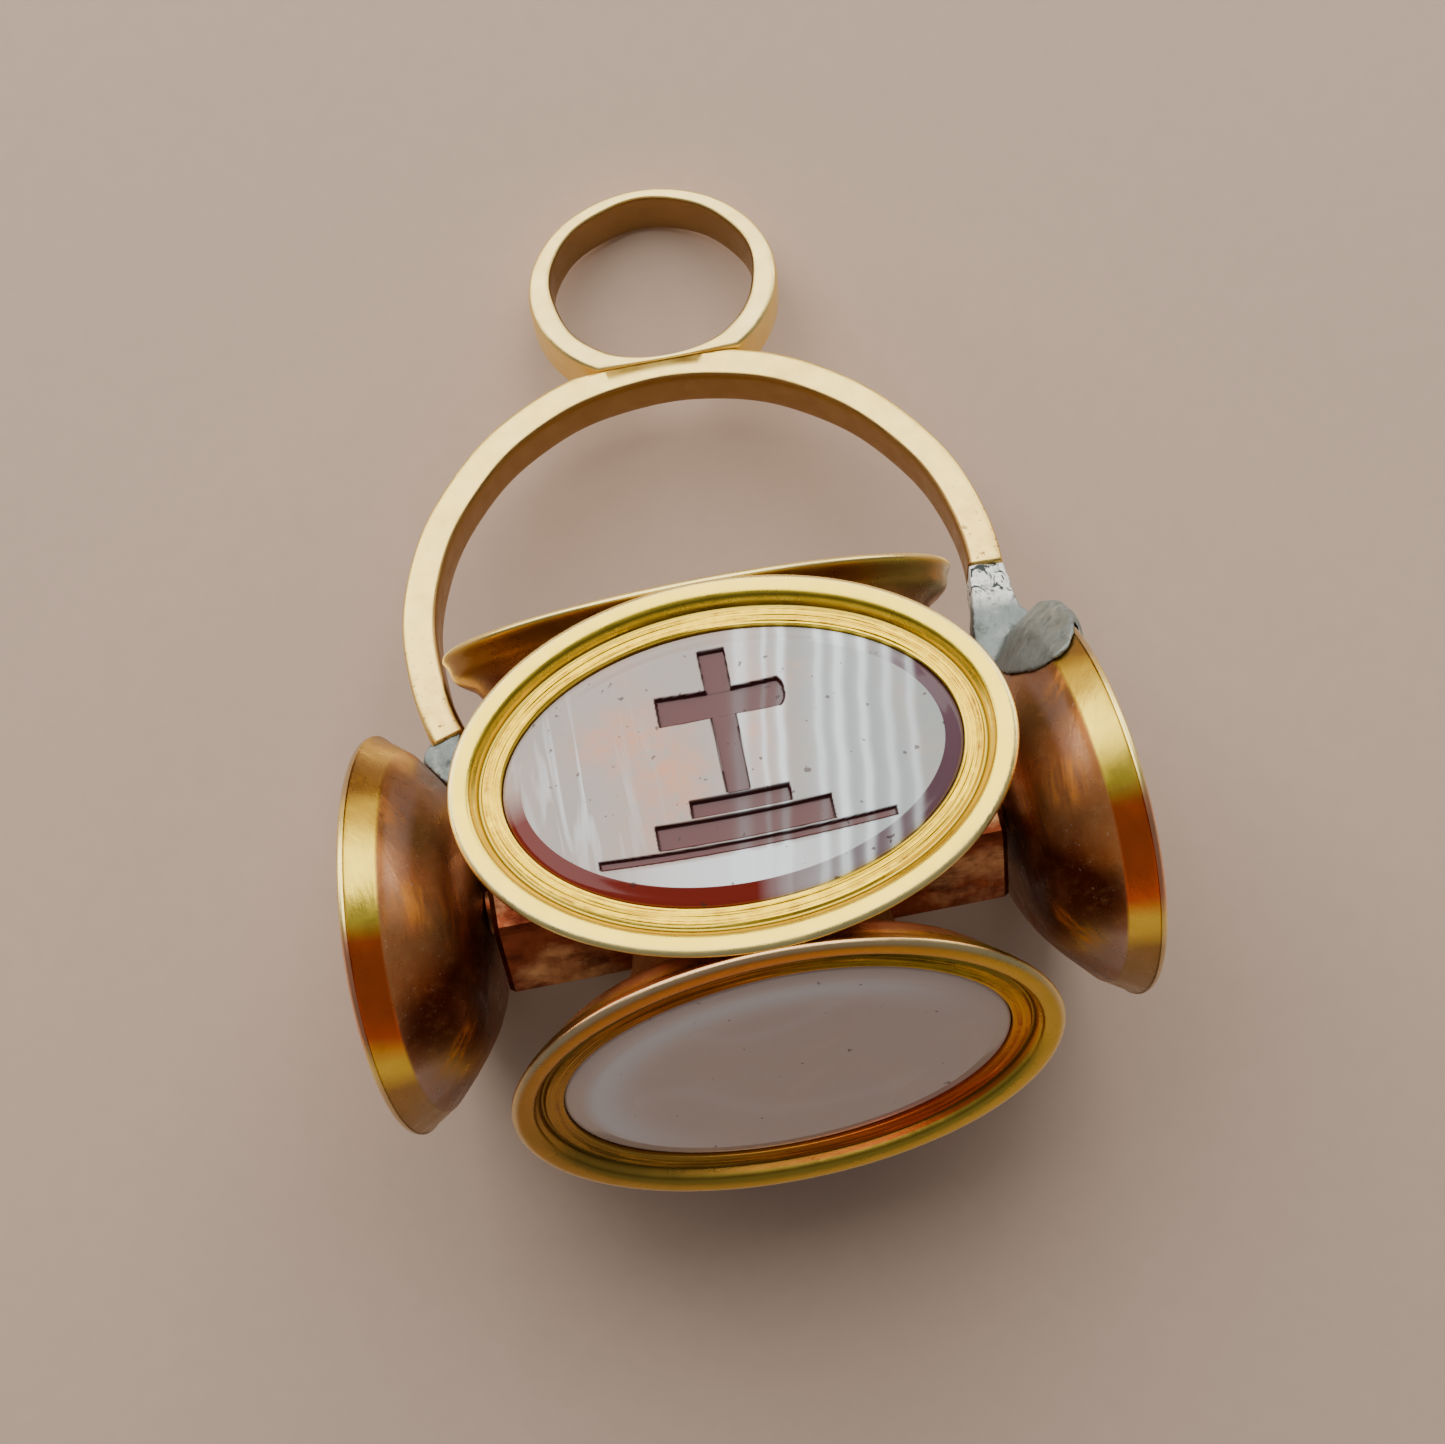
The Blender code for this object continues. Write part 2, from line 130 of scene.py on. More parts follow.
def bump(tree, shader, height, strength, distance, below=None):
    """Bump from a height value, on top of another bump if one is given."""
    node = tree.nodes.new("ShaderNodeBump")
    node.inputs["Strength"].default_value = strength
    node.inputs["Distance"].default_value = distance
    tree.links.new(height, node.inputs["Height"])
    if below:
        tree.links.new(below.outputs["Normal"], node.inputs["Normal"])
    tree.links.new(node.outputs["Normal"], shader.inputs["Normal"])
    return node


def hub_gold():
    """Coppery gold with tan rubbed patches, dark stains in the pits and coarse file marks."""
    mat, tree, shader = new_material("hub_gold")
    rubbed_and_highlight = ramp(tree, noise(tree, 420, detail=6), 0.45, 0.62)
    stained = ramp(tree, noise(tree, 800, detail=8, rough=0.7, stretch=(0.5, 1, 1)), 0.48, 0.64)
    colour = blend(tree, rubbed_and_highlight, HUB_COPPER, HUB_TAN)
    colour = blend(tree, times(tree, stained, 0.8), colour, HUB_STAIN)
    tree.links.new(colour, shader.inputs["Base Color"])
    socket_value(shader, Metallic=1.0)
    tree.links.new(ramp(tree, noise(tree, 1500), -0.4, 1.6), shader.inputs["Roughness"])
    marks = noise(tree, 2600, detail=3, rough=0.6, stretch=(1.0, 0.12, 0.12))
    first = bump(tree, shader, marks, 0.35, 0.00006)
    bump(tree, shader, noise(tree, 1700, detail=8), 0.3, 0.00005, first)
    return mat


core_metal = hub_gold()
for part_name in ("hub", "axle"):
    core = frame["nodes"][part_name]
    core.data.materials.clear()
    core.data.materials.append(core_metal)

# Wheel settings
# Five oval gold settings, each raised from sheet to a shallow cup, with a flat rim, a step and
# a burnished inner land, and a flared foot soldered to one side of the hub.
WHEEL_STEP = math.radians(72)
WHEEL_TURN = -0.0133
WHEEL_HALF_LONG = 10.95
WHEEL_HALF_SHORT = 7.77
WHEEL_FACE = 10.90
# Profiles: inset from the outline and drop under the rim, point by point.
WHEEL_FOOT = (5.75, 7.97)
WHEEL_BACK = ((5.40, 5.60), (4.30, 4.40), (2.90, 3.40), (1.75, 2.50), (0.75, 1.15), (0.55, 0.85))
RIM = (
    (0.0, 0.30), (0.03, 0.12), (0.16, 0.03), (0.34, 0.0), (0.62, 0.015), (0.80, 0.06), (0.92, 0.16),
    (1.08, 0.42), (1.15, 0.55), (1.25, 0.55),
)
LAND_START = 1.32
LAND_END = 1.98
LAND_DROP = 0.42
LAND_ROWS = 23
SEAT_INSET = 2.05
SEAT_DROP = 1.93
ROUND_POINTS = 232
WHEEL_NAMES = ("front", "lower", "under", "rear", "upper")

RIPPLE_WIDE = 0.026
RIPPLE_FINE = 0.010
WAVER_WIDE = 0.022
WAVER_FINE = 0.014
WAVER_HEIGHT = 0.012
WAVER_FROM = 0.3
WAVER_FADE = 0.5
WAVER_END = 0.9
DENT_FROM = 1.30
DENT_DEPTH = 0.03
END_BLUNT = 0.55
BLUNT_DROP = 0.95
BLUNT_REACH = 0.5
BLUNT_INSET = 1.0
# Dark grooves: inset, width, weight, and the drop where they stop.
GROOVES = ((1.15, 0.09, 1.0, 0.8), (0.90, 0.05, 0.7, 0.5), (1.30, 0.04, 0.6, 0.6))
# Painted highlight along the rim's outer edge: its inset, width, and the drop where it stops.
EDGE_INSET = 0.10
EDGE_WIDTH = 0.12
EDGE_DROP = 0.30

PALE_GOLD = (0.97, 0.71, 0.080)
YELLOW_GOLD = (0.97, 0.64, 0.018)
LINE_BROWN = (0.28, 0.12, 0.015)
GROOVE_OLIVE = (0.15, 0.090, 0.016)
# Copper-brown of the raised backs: partly the metal's own colour, partly painted shade.
COPPER_AND_SHADE_BACK = (0.52, 0.21, 0.075)
MAROON_STAIN = (0.10, 0.006, 0.004)
OLIVE_STAIN = (0.24, 0.135, 0.048)
WARM_RED = (0.80, 0.095, 0.018)
# Painted orange highlights on the side settings' backs.
HIGHLIGHT_ORANGE = (1.0, 0.42, 0.10)
BAND_OLIVE = (0.36, 0.185, 0.052)
# Painted pink-grey reflections on the side settings' backs.
REFLECTION_PINK_GREY = (0.66, 0.44, 0.37)
HAIR_TAN = (0.72, 0.40, 0.17)
DUST_PALE = (0.75, 0.62, 0.48)
# Painted highlight along the rim's outer edge.
EDGE_HIGHLIGHT_PALE = (1.0, 0.90, 0.60)
BACK_TOP = 1.32
BACK_FADE = 0.10
LAND_TOP = -0.30
LAND_BOTTOM = -0.60
# Stains round the oval: turn in radians, reach and weight.
LOWER_WARM = ((-0.9, 0.9, 1.0), (1.9, 0.6, 0.6))
LOWER_RIM_WARM = (1.7, 0.8, 0.5)
# Painted shade on the lower setting: an olive weight everywhere, and more on the left by turn, reach and weight.
LOWER_SHADE = 0.45
LOWER_LEFT_SHADE = (math.pi, 1.4, 0.5)
UPPER_TARNISH_TOP = -0.12
UPPER_TARNISH_FADE = 0.3

record = frame["record"]
axle_at = np.array(frame["joints"][0]["pos_m"])
ring_axis = next(m for m in record["mounts"] if m["name"] == "ring_face")["axis"]
lie_tilt = math.atan2(ring_axis[1], ring_axis[2])


def about_x(angle):
    """Right-handed turn about X."""
    c, s = math.cos(angle), math.sin(angle)
    return np.array([[1, 0, 0], [0, c, -s], [0, s, c]])


def about_y(angle):
    """Right-handed turn about Y."""
    c, s = math.cos(angle), math.sin(angle)
    return np.array([[c, 0, s], [0, 1, 0], [-s, 0, c]])


def about_z(angle):
    """Right-handed turn about Z."""
    c, s = math.cos(angle), math.sin(angle)
    return np.array([[c, -s, 0], [s, c, 0], [0, 0, 1]])


def in_place(points, turn=np.eye(3), at=(0, 0, 0)):
    """Points in millimetres, turned and moved in the bow's frame and laid down with it."""
    return axle_at + MM * (points @ turn.T + np.array(at)) @ about_x(-lie_tilt).T


def fade(value, at, reach):
    """Bell curve exp(-((value - at) / reach)^2): 1 at its middle, fading over reach."""
    return np.exp(-((value - at) / reach) ** 2)


def round_faces(rows, columns):
    """Quads between neighbouring rows of a grid that closes on itself round each row."""
    row, column = np.meshgrid(np.arange(rows - 1), np.arange(columns), indexing="ij")
    here = row * columns + column
    beside = row * columns + (column + 1) % columns
    return np.stack([here, beside, beside + columns, here + columns], -1).reshape(-1, 4).tolist()


def make_piece(name, points, faces, mat, body, values=None):
    """Smooth closed mesh at the origin from points in metres, with values painted on its vertices."""
    mesh = bpy.data.meshes.new(name)
    mesh.from_pydata(points.tolist(), [], faces)
    for key, data in (values or {}).items():
        layer = mesh.attributes.new(key, "FLOAT", "POINT")
        layer.data.foreach_set("value", np.ascontiguousarray(data, np.float32))
    shell = bmesh.new()
    shell.from_mesh(mesh)
    bmesh.ops.recalc_face_normals(shell, faces=shell.faces)
    shell.to_mesh(mesh)
    shell.free()
    mesh.polygons.foreach_set("use_smooth", [True] * len(mesh.polygons))
    mesh.materials.append(mat)
    piece = bpy.data.objects.new(name, mesh)
    bpy.context.scene.collection.objects.link(piece)
    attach(piece, body)
    return piece


def soften_line(points, rounds=2):
    """Open line with its corners cut at a quarter and three quarters of each stretch, ends kept."""
    line = np.array(points, float)
    for _ in range(rounds):
        near = 0.75 * line[:-1] + 0.25 * line[1:]
        far = 0.25 * line[:-1] + 0.75 * line[1:]
        cut = np.stack([near, far], 1).reshape(-1, line.shape[1])
        line = np.vstack([line[:1], cut, line[-1:]])
    return line


def setting_points(half_long, half_short, back, seed, ends_blunt):
    """Oval rows of a setting: each row is the outline drawn in by its inset and let down by its drop.
    The inner land carries shallow ripples that drift round the oval, and the whole wavers a little by
    hand. ends_blunt says whether the outer wall is worn back at the oval's ends."""
    outside = soften_line(back + RIM)
    land = np.linspace(LAND_START, LAND_END, LAND_ROWS)
    rippled = np.column_stack([land, np.full(LAND_ROWS, LAND_DROP)])
    well = soften_line((
        (SEAT_INSET - 0.02, LAND_DROP + 0.03), (SEAT_INSET, LAND_DROP + 0.12), (SEAT_INSET, SEAT_DROP)), 1)
    line = np.vstack([outside, rippled, well])
    inset, drop = line[:, :1], line[:, 1:]
    turn = np.linspace(0, 2 * np.pi, ROUND_POINTS, endpoint=False)[None, :]
    draw = np.random.default_rng(seed)
    phase = draw.uniform(0, 2 * np.pi, (len(line), 1))
    on_land = ((inset > LAND_START) & (inset < LAND_END) & (np.abs(drop - LAND_DROP) < 0.01)).astype(float)
    ripple = RIPPLE_WIDE * np.sin(2 * turn + phase * 3) + RIPPLE_FINE * np.sin(9 * turn + phase)
    ripple *= on_land
    inner = np.clip((inset - WAVER_FROM) / WAVER_FADE, 0, 1) * (drop < WAVER_END)
    waver = inner * (WAVER_WIDE * np.sin(2 * turn + seed) + WAVER_FINE * np.sin(5 * turn + 2.1 * seed))
    dent = np.clip(drop - DENT_FROM, 0, 1) * np.sin(3 * turn + seed) * np.sin(2.1 * drop + seed)
    dent *= DENT_DEPTH
    blunt = END_BLUNT * np.abs(np.cos(turn)) ** 6 * fade(drop, BLUNT_DROP, BLUNT_REACH)
    blunt *= (inset < BLUNT_INSET) * ends_blunt
    long = half_long - inset * (1 - blunt) - waver - dent
    short = half_short - inset - waver - dent
    height = -drop - ripple - WAVER_HEIGHT * inner * np.sin(4 * turn + seed)
    points = np.stack([long * np.cos(turn), short * np.sin(turn), height], -1)
    outer_rows = np.arange(len(line))[:, None] < len(outside)
    back_share = np.clip((drop - BACK_TOP) / BACK_FADE, 0, 1) * outer_rows
    groove = sum(
        weight * fade(inset, at, width) * (drop < deepest) for at, width, weight, deepest in GROOVES)
    # Painted highlight along the rim's outer edge.
    rim_edge_highlight = fade(inset, EDGE_INSET, EDGE_WIDTH) * (drop < EDGE_DROP)
    line = np.clip(0.45 + 0.85 * np.sin(phase * 7 + 1.5 * np.sin(2 * turn + phase)), 0, 1)
    full = np.ones_like(turn)
    values = {
        "back": (back_share * full).ravel(),
        "groove": (np.clip(groove, 0, 1) * full).ravel(),
        "edge": (rim_edge_highlight * full).ravel(),
        "land": (on_land * full).ravel(),
        "line": (on_land * line).ravel(),
    }
    return points, values


def setting_gold():
    """Worn gold: pale on the rim with a painted highlight along its outer edge, yellow with brown lines on
    the burnished land, olive in the grooves and as painted shade on the lower setting, and on the raised
    back a copper-brown that is partly its own colour and partly painted shade, with maroon and olive
    stains, painted orange highlights and painted pink-grey reflections."""
    mat, tree, shader = new_material("setting_gold")
    drift = ramp(tree, noise(tree, 260, detail=3), 0.35, 0.7)
    streak = ramp(tree, noise(tree, 1500, detail=6, rough=0.7), 0.35, 0.65)
    rim = blend(tree, times(tree, drift, 0.35), PALE_GOLD, YELLOW_GOLD)
    rim = blend(tree, painted(tree, "land"), rim, YELLOW_GOLD)
    rim = blend(tree, times(tree, painted(tree, "line"), streak), rim, LINE_BROWN)
    # Olive: painted shade on the lower setting, tarnish on the others.
    rim = blend(tree, times(tree, painted(tree, "tarnish_and_shade"), 0.92), rim, BAND_OLIVE)
    rim = blend(tree, times(tree, painted(tree, "warm"), 0.92), rim, WARM_RED)
    rim = blend(tree, times(tree, painted(tree, "groove"), 0.9), rim, GROOVE_OLIVE)
    stain = ramp(tree, noise(tree, 190, detail=5, rough=0.6, distortion=0.6), 0.50, 0.72)
    olive = ramp(tree, noise(tree, 330, detail=4), 0.50, 0.75)
    # The back's copper-brown is partly the metal's own colour and partly painted shade.
    back_colour_and_painted_light = blend(tree, times(tree, olive, 0.7), COPPER_AND_SHADE_BACK, OLIVE_STAIN)
    back_colour_and_painted_light = blend(tree, times(tree, stain, 0.6), back_colour_and_painted_light, MAROON_STAIN)
    back_colour_and_painted_light = blend(tree, times(tree, painted(tree, "maroon"), 0.9), back_colour_and_painted_light, MAROON_STAIN)
    back_colour_and_painted_light = blend(tree, times(tree, painted(tree, "dull"), 0.8), back_colour_and_painted_light, OLIVE_STAIN)
    # Painted pink-grey reflections on the side settings' backs.
    back_colour_and_painted_light = blend(tree, times(tree, painted(tree, "pink_reflection"), 0.9), back_colour_and_painted_light, REFLECTION_PINK_GREY)
    hairs = ramp(tree, noise(tree, 2200, detail=8, rough=0.8, stretch=(1, 1, 0.15)), 0.50, 0.70)
    back_colour_and_painted_light = blend(tree, times(tree, hairs, 0.35), back_colour_and_painted_light, HAIR_TAN)
    # Painted orange highlights on the side settings' backs, broken into strokes.
    strokes = noise(tree, 1900, detail=3, rough=0.5, stretch=(1, 0.25, 1), distortion=0.4)
    strokes = ramp(tree, strokes, 0.36, 0.60)
    back_colour_and_painted_light = blend(tree, times(tree, painted(tree, "rubbed_and_highlight"), strokes), back_colour_and_painted_light, HIGHLIGHT_ORANGE)
    dust = ramp(tree, noise(tree, 5200, detail=2, rough=0.5), 0.70, 0.74)
    back_colour_and_painted_light = blend(tree, times(tree, dust, 0.5), back_colour_and_painted_light, DUST_PALE)
    colour = blend(tree, painted(tree, "back"), rim, back_colour_and_painted_light)
    # Painted highlight along the rim's outer edge.
    colour = blend(tree, times(tree, painted(tree, "edge"), 0.5), colour, EDGE_HIGHLIGHT_PALE)
    tree.links.new(colour, shader.inputs["Base Color"])
    tree.links.new(ramp(tree, painted(tree, "back"), 3.2, 0.0), shader.inputs["Metallic"])
    tree.links.new(ramp(tree, noise(tree, 800, detail=6), -0.25, 2.2), shader.inputs["Roughness"])
    scratches = noise(tree, 2400, detail=2, rough=0.5, stretch=(1, 0.15, 1), distortion=1.2)
    first = bump(tree, shader, scratches, 0.20, 0.00005)
    bump(tree, shader, noise(tree, 5200, detail=3), 0.12, 0.00003, first)
    return mat


gold = setting_gold()


def make_setting(name, half_long, half_short, back, place, body, seed, stains=None):
    """One setting, closed by its foot and by the floor under its stone. stains gives further values
    to paint from the points, before they are placed."""
    points, values = setting_points(half_long, half_short, back, seed, body == WHEEL_BODY)
    values.update(stains(points) if stains else {})
    rows, columns = points.shape[:2]
    faces = round_faces(rows, columns)
    faces.append(list(range(columns)))
    faces.append(list(range((rows - 1) * columns, rows * columns)))
    piece = make_piece(name + "_rim", in_place(points.reshape(-1, 3), *place), faces, gold, body, values)
    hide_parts(name + "_setting")
    return piece


def lower_stains_and_shade(points):
    """Orange-red on the land's lower right side and on the rim's far side, and olive painted shade over the whole
    setting, most on the left.
    """
    x, y, z = points.reshape(-1, 3).T
    turn = np.arctan2(y / WHEEL_HALF_SHORT, x / WHEEL_HALF_LONG)
    on_land = (z < LAND_TOP) & (z > LAND_BOTTOM)
    land_warm = sum(weight * fade(turn, at, reach) for at, reach, weight in LOWER_WARM)
    rim_at, rim_reach, rim_weight = LOWER_RIM_WARM
    left_at, left_reach, left_weight = LOWER_LEFT_SHADE
    rim_warm = rim_weight * fade(turn, rim_at, rim_reach) * (z > LAND_TOP)
    return {
        "warm": np.clip(land_warm, 0, 1) * on_land + rim_warm,
        # Painted shade: olive over the whole setting, most on the left.
        "tarnish_and_shade": LOWER_SHADE + left_weight * fade(np.abs(turn), left_at, left_reach),
    }


def upper_stains(points):
    """Brown tarnish down the outer wall."""
    return {"tarnish_and_shade": np.clip((UPPER_TARNISH_TOP - points[..., 2].ravel()) / UPPER_TARNISH_FADE, 0, 1)}


WHEEL_STAINS = {"lower": lower_stains_and_shade, "upper": upper_stains, "rear": upper_stains}

wheel_places = {}
for number, seal in enumerate(WHEEL_NAMES):
    wheel_turn = about_x(WHEEL_TURN + number * WHEEL_STEP)
    wheel_places[seal] = (wheel_turn, wheel_turn @ np.array([0, 0, WHEEL_FACE]))
    make_setting(
        seal, WHEEL_HALF_LONG, WHEEL_HALF_SHORT, (WHEEL_FOOT,) + WHEEL_BACK, wheel_places[seal], WHEEL_BODY,
        seed=number + 1, stains=WHEEL_STAINS.get(seal),
    )

# Side settings
# Two longer oval settings close the ends of the axle. Their deep backs face the wheel and were
# raised over a stake, so they are smoother and end in a low dome. They are browner, partly from the
# metal's own colour and partly from painted shade.
CUP_HALF_LONG = 12.75
CUP_HALF_SHORT = 8.30
CUP_HEIGHT = 3.75
CUP_BACK_AT = 11.00
CUP_SHIFT = -0.40
CUP_SPLAY = math.radians(3.4)
CUP_BACK = (
    (6.40, 3.75), (4.90, 3.68), (3.50, 3.38), (2.45, 2.70), (0.95, 1.48), (0.83, 1.37), (0.77, 1.30),
    (0.70, 1.18), (0.08, 0.30),
)
SIDES = (("left", -1, math.radians(3.0)), ("right", 1, 0.0))
CUP_BAND_END = -1.45
UNEVEN = 0.5
UNEVEN_REACH = 0.8
RED_AT = -2.1
RED_HALF = 2.7
RED_FADE = 0.9
OLIVE_ABOVE = 4.9
OLIVE_BELOW = -5.2
OLIVE_FADE = 0.8
# Painted pink-grey reflection in a strip just past the band: its drop, half height, middle along v, fade and
# weight.
STRIP_DROP = 2.0
STRIP_HALF = 0.45
STRIP_AT = 3.2
STRIP_FADE = 1.6
STRIP_WEIGHT = 0.45
# Spots: middle, reach along u and v, and weight.
MAROON_SPOTS = (((4.9, -2.2), (3.4, 2.6), 1.3), ((8.5, -3.2), (2.4, 1.6), 0.8))
DULL_SPOTS = (((8.2, 3.7), (2.2, 1.3), 1.0), ((4.5, 4.5), (2.5, 1.6), 0.6))
# Painted pink-grey reflection on a facet of the back.
PINK_REFLECTION_SPOTS = (((6.4, -6.1), (2.2, 0.75), 3.0),)
# Painted orange highlights on the back of each side setting.
HIGHLIGHT_SPOTS = (
    ((9.05, 4.95), (0.6, 0.6), 2.0), ((10.3, 0.9), (0.6, 0.7), 2.0), ((5.4, -4.65), (0.8, 0.7), 2.0),
    ((7.5, 0.5), (1.6, 1.2), 0.5),
)


def waves(x, y, seed, reach):
    """Slow curls: a few sines of different slant added together, from about -1 to 1."""
    draw = np.random.default_rng(seed)
    total = np.zeros_like(x)
    for _ in range(5):
        slant = draw.uniform(0, np.pi)
        across = (x * np.cos(slant) + y * np.sin(slant)) / reach
        total += np.sin(across * draw.uniform(0.7, 1.6) + draw.uniform(0, 6))
    return total / 5


def spots(u, v, table):
    """Soft oval patches added together: each has its middle, its reach along u and v, and its weight."""
    return sum(weight * fade(u, at[0], reach[0]) * fade(v, at[1], reach[1]) for at, reach, weight in table)


def side_stains(side):
    """Stains, painted highlights and painted reflections of a side setting, placed by u along its upper half and v
    across, toward the ring.
    """
    def paint(points):
        x, v, z = points.reshape(-1, 3).T
        u = -side * x
        near = np.clip(u / 2 + 0.5, 0, 1)
        on_band = z > CUP_BAND_END
        uneven = UNEVEN * waves(x, v, 21 + side, UNEVEN_REACH)
        red = np.clip((RED_HALF - np.abs(v - RED_AT + uneven)) / RED_FADE, 0, 1) * near
        olive = np.clip((v - OLIVE_ABOVE + uneven) / OLIVE_FADE, 0, 1)
        olive += np.clip((OLIVE_BELOW - v + uneven) / OLIVE_FADE, 0, 1)
        # Strip of painted pink-grey reflection just past the band.
        strip = np.clip(2.0 - np.abs(v - STRIP_AT - uneven) / STRIP_FADE, 0, 1) * near
        strip *= STRIP_WEIGHT * (np.abs(-z - STRIP_DROP) < STRIP_HALF)
        return {
            "warm": red * on_band,
            "tarnish_and_shade": np.clip(olive, 0, 1) * on_band,
            "maroon": np.clip(1.3 * spots(u, v, MAROON_SPOTS) + 0.4 * uneven, 0, 1),
            "dull": np.clip(spots(u, v, DULL_SPOTS), 0, 1),
            # Painted pink-grey reflections: the facet patch and the strip.
            "pink_reflection": np.clip(np.clip(spots(u, v, PINK_REFLECTION_SPOTS), 0, 1) + strip, 0, 1),
            # Painted orange highlights.
            "rubbed_and_highlight": np.clip(1.3 * spots(u, v, HIGHLIGHT_SPOTS), 0, 1),
        }
    return paint


side_places = {}
for seal, side, lean in SIDES:
    splayed = about_x(lie_tilt) @ about_z(side * CUP_SPLAY)
    back_centre = about_x(lie_tilt) @ np.array([side * CUP_BACK_AT, CUP_SHIFT, 0])
    face_centre = back_centre + splayed @ np.array([side * CUP_HEIGHT, 0, 0])
    side_turn = splayed @ about_y(side * (math.pi / 2 + lean))
    side_places[seal] = (side_turn, face_centre)
    make_setting(
        seal, CUP_HALF_LONG, CUP_HALF_SHORT, CUP_BACK, side_places[seal], BOW_BODY, seed=8 + side,
        stains=side_stains(side),
    )

# Plain stones
# Six flat agates and carnelians with a ground bevel, set in cement. They are polished and cut
# with nothing; the lower one is a grey agate with a pale border, the rest are plainer. Each border
# is partly the agate's own band and partly a painted sheen, strongest on the upper left.
STONE_EDGE = 2.09
STONE_BEVEL = 0.72
TABLE_DROP = 0.35
GIRDLE_DROP = 0.66
STONE_FLOOR = 1.91
GRID_LONG = 120
GRID_SHORT = 80
SPECK_DARK = (0.03, 0.015, 0.012)
BORDER_AT = 0.86
BORDER_INWARD = 0.14
BORDER_OUTWARD = 0.05
BORDER_WEIGHT = 0.60
BORDER_WAVER = 0.03
BORDER_REACH = 3.0
# Painted sheen: the border is strengthened toward the upper left, across a slanted line that fades over this
# reach.
SHEEN_SLANT = 0.6
SHEEN_FADE = 2.5
CURL_REACH = 2.2
CURL_WIDTH = 0.10
CURL_WEIGHT = 0.10
CURL_END = 0.7

# Body, band and warm colour of each stone.
STONES = {
    "lower": ((0.60, 0.455, 0.39), (0.80, 0.78, 0.80), (0.68, 0.48, 0.38)),
    "under": ((0.33, 0.060, 0.020), (0.50, 0.22, 0.12), (0.16, 0.02, 0.01)),
    "rear": ((0.30, 0.26, 0.24), (0.52, 0.49, 0.47), (0.20, 0.11, 0.08)),
    "upper": ((0.17, 0.05, 0.03), (0.33, 0.17, 0.12), (0.07, 0.015, 0.01)),
    "left": ((0.35, 0.075, 0.03), (0.48, 0.26, 0.18), (0.18, 0.03, 0.015)),
    "right": ((0.28, 0.22, 0.20), (0.50, 0.45, 0.43), (0.24, 0.10, 0.06)),
}


def table_grid(half_long, half_short, long_cells, short_cells):
    """Grid over an oval: a square grid is squeezed so that its sides bend onto the outline."""
    u, v = np.meshgrid(np.linspace(-1, 1, long_cells + 1), np.linspace(-1, 1, short_cells + 1))
    return half_long * u * np.sqrt(1 - v * v / 2), half_short * v * np.sqrt(1 - u * u / 2)


def stone_mesh(half_long, half_short, long_cells, short_cells, sink=None):
    """Table grid, then rings down the bevel and the side to the underside. sink gives the table's
    depth at x, y. Returns points, faces and, for each vertex, where it lies: 0 table, 1 bevel."""
    edge = STONE_EDGE + STONE_BEVEL
    x, y = table_grid(half_long - edge, half_short - edge, long_cells, short_cells)
    depth = sink(x, y) if sink else np.zeros_like(x)
    top = np.stack([x, y, -TABLE_DROP - depth], -1).reshape(-1, 3)
    index = np.arange(x.size).reshape(x.shape)
    loop = np.concatenate([index[0, :-1], index[:-1, -1], index[-1, :0:-1], index[:0:-1, 0]])
    turn = np.arctan2(top[loop, 1] / (half_short - edge), top[loop, 0] / (half_long - edge))
    line = soften_line((
        (edge, TABLE_DROP), (edge - 0.04, TABLE_DROP + 0.01), (edge - 0.32, TABLE_DROP + 0.10),
        (STONE_EDGE + 0.12, 0.53), (STONE_EDGE, GIRDLE_DROP - 0.05), (STONE_EDGE, GIRDLE_DROP + 0.05),
        (STONE_EDGE, STONE_FLOOR)))[1:]
    inset, drop = line[:, :1], line[:, 1:]
    rings = np.stack([
        (half_long - inset) * np.cos(turn), (half_short - inset) * np.sin(turn), -drop * np.ones_like(turn)
    ], -1)
    points = np.vstack([top, rings.reshape(-1, 3)])
    quads = np.stack([index[:-1, :-1], index[:-1, 1:], index[1:, 1:], index[1:, :-1]], -1)
    quads = quads.reshape(-1, 4).tolist()
    count = len(loop)
    first_ring = np.arange(count) + x.size
    seam = np.stack([loop, np.roll(loop, -1), np.roll(first_ring, -1), first_ring], -1)
    sides = (np.array(round_faces(len(line), count)) + x.size).tolist()
    under = list(range(len(points) - count, len(points)))
    place = np.concatenate([np.zeros(x.size), np.ones(len(points) - x.size)])
    return points, quads + seam.tolist() + sides + [under], place


def agate(name, body_colour, band_colour, warm_colour):
    """Polished agate: a body colour with curled pale bands, a warm cloud and tiny dark marks."""
    mat, tree, shader = new_material(name)
    cloud = ramp(tree, noise(tree, 210, detail=5, rough=0.6, distortion=1.5), 0.42, 0.72)
    colour = blend(tree, times(tree, cloud, 0.55), body_colour, warm_colour)
    colour = blend(tree, painted(tree, "band"), colour, band_colour)
    speck = ramp(tree, noise(tree, 2300, detail=2, rough=0.4), 0.74, 0.78)
    colour = blend(tree, times(tree, speck, 0.6), colour, SPECK_DARK)
    colour = blend(tree, times(tree, painted(tree, "bevel"), 0.25), colour, warm_colour)
    tree.links.new(colour, shader.inputs["Base Color"])
    socket_value(shader, Roughness=0.10, IOR=1.55)
    bump(tree, shader, noise(tree, 1500, detail=3, rough=0.5, stretch=(1, 0.2, 1)), 0.03, 0.00003)
    return mat


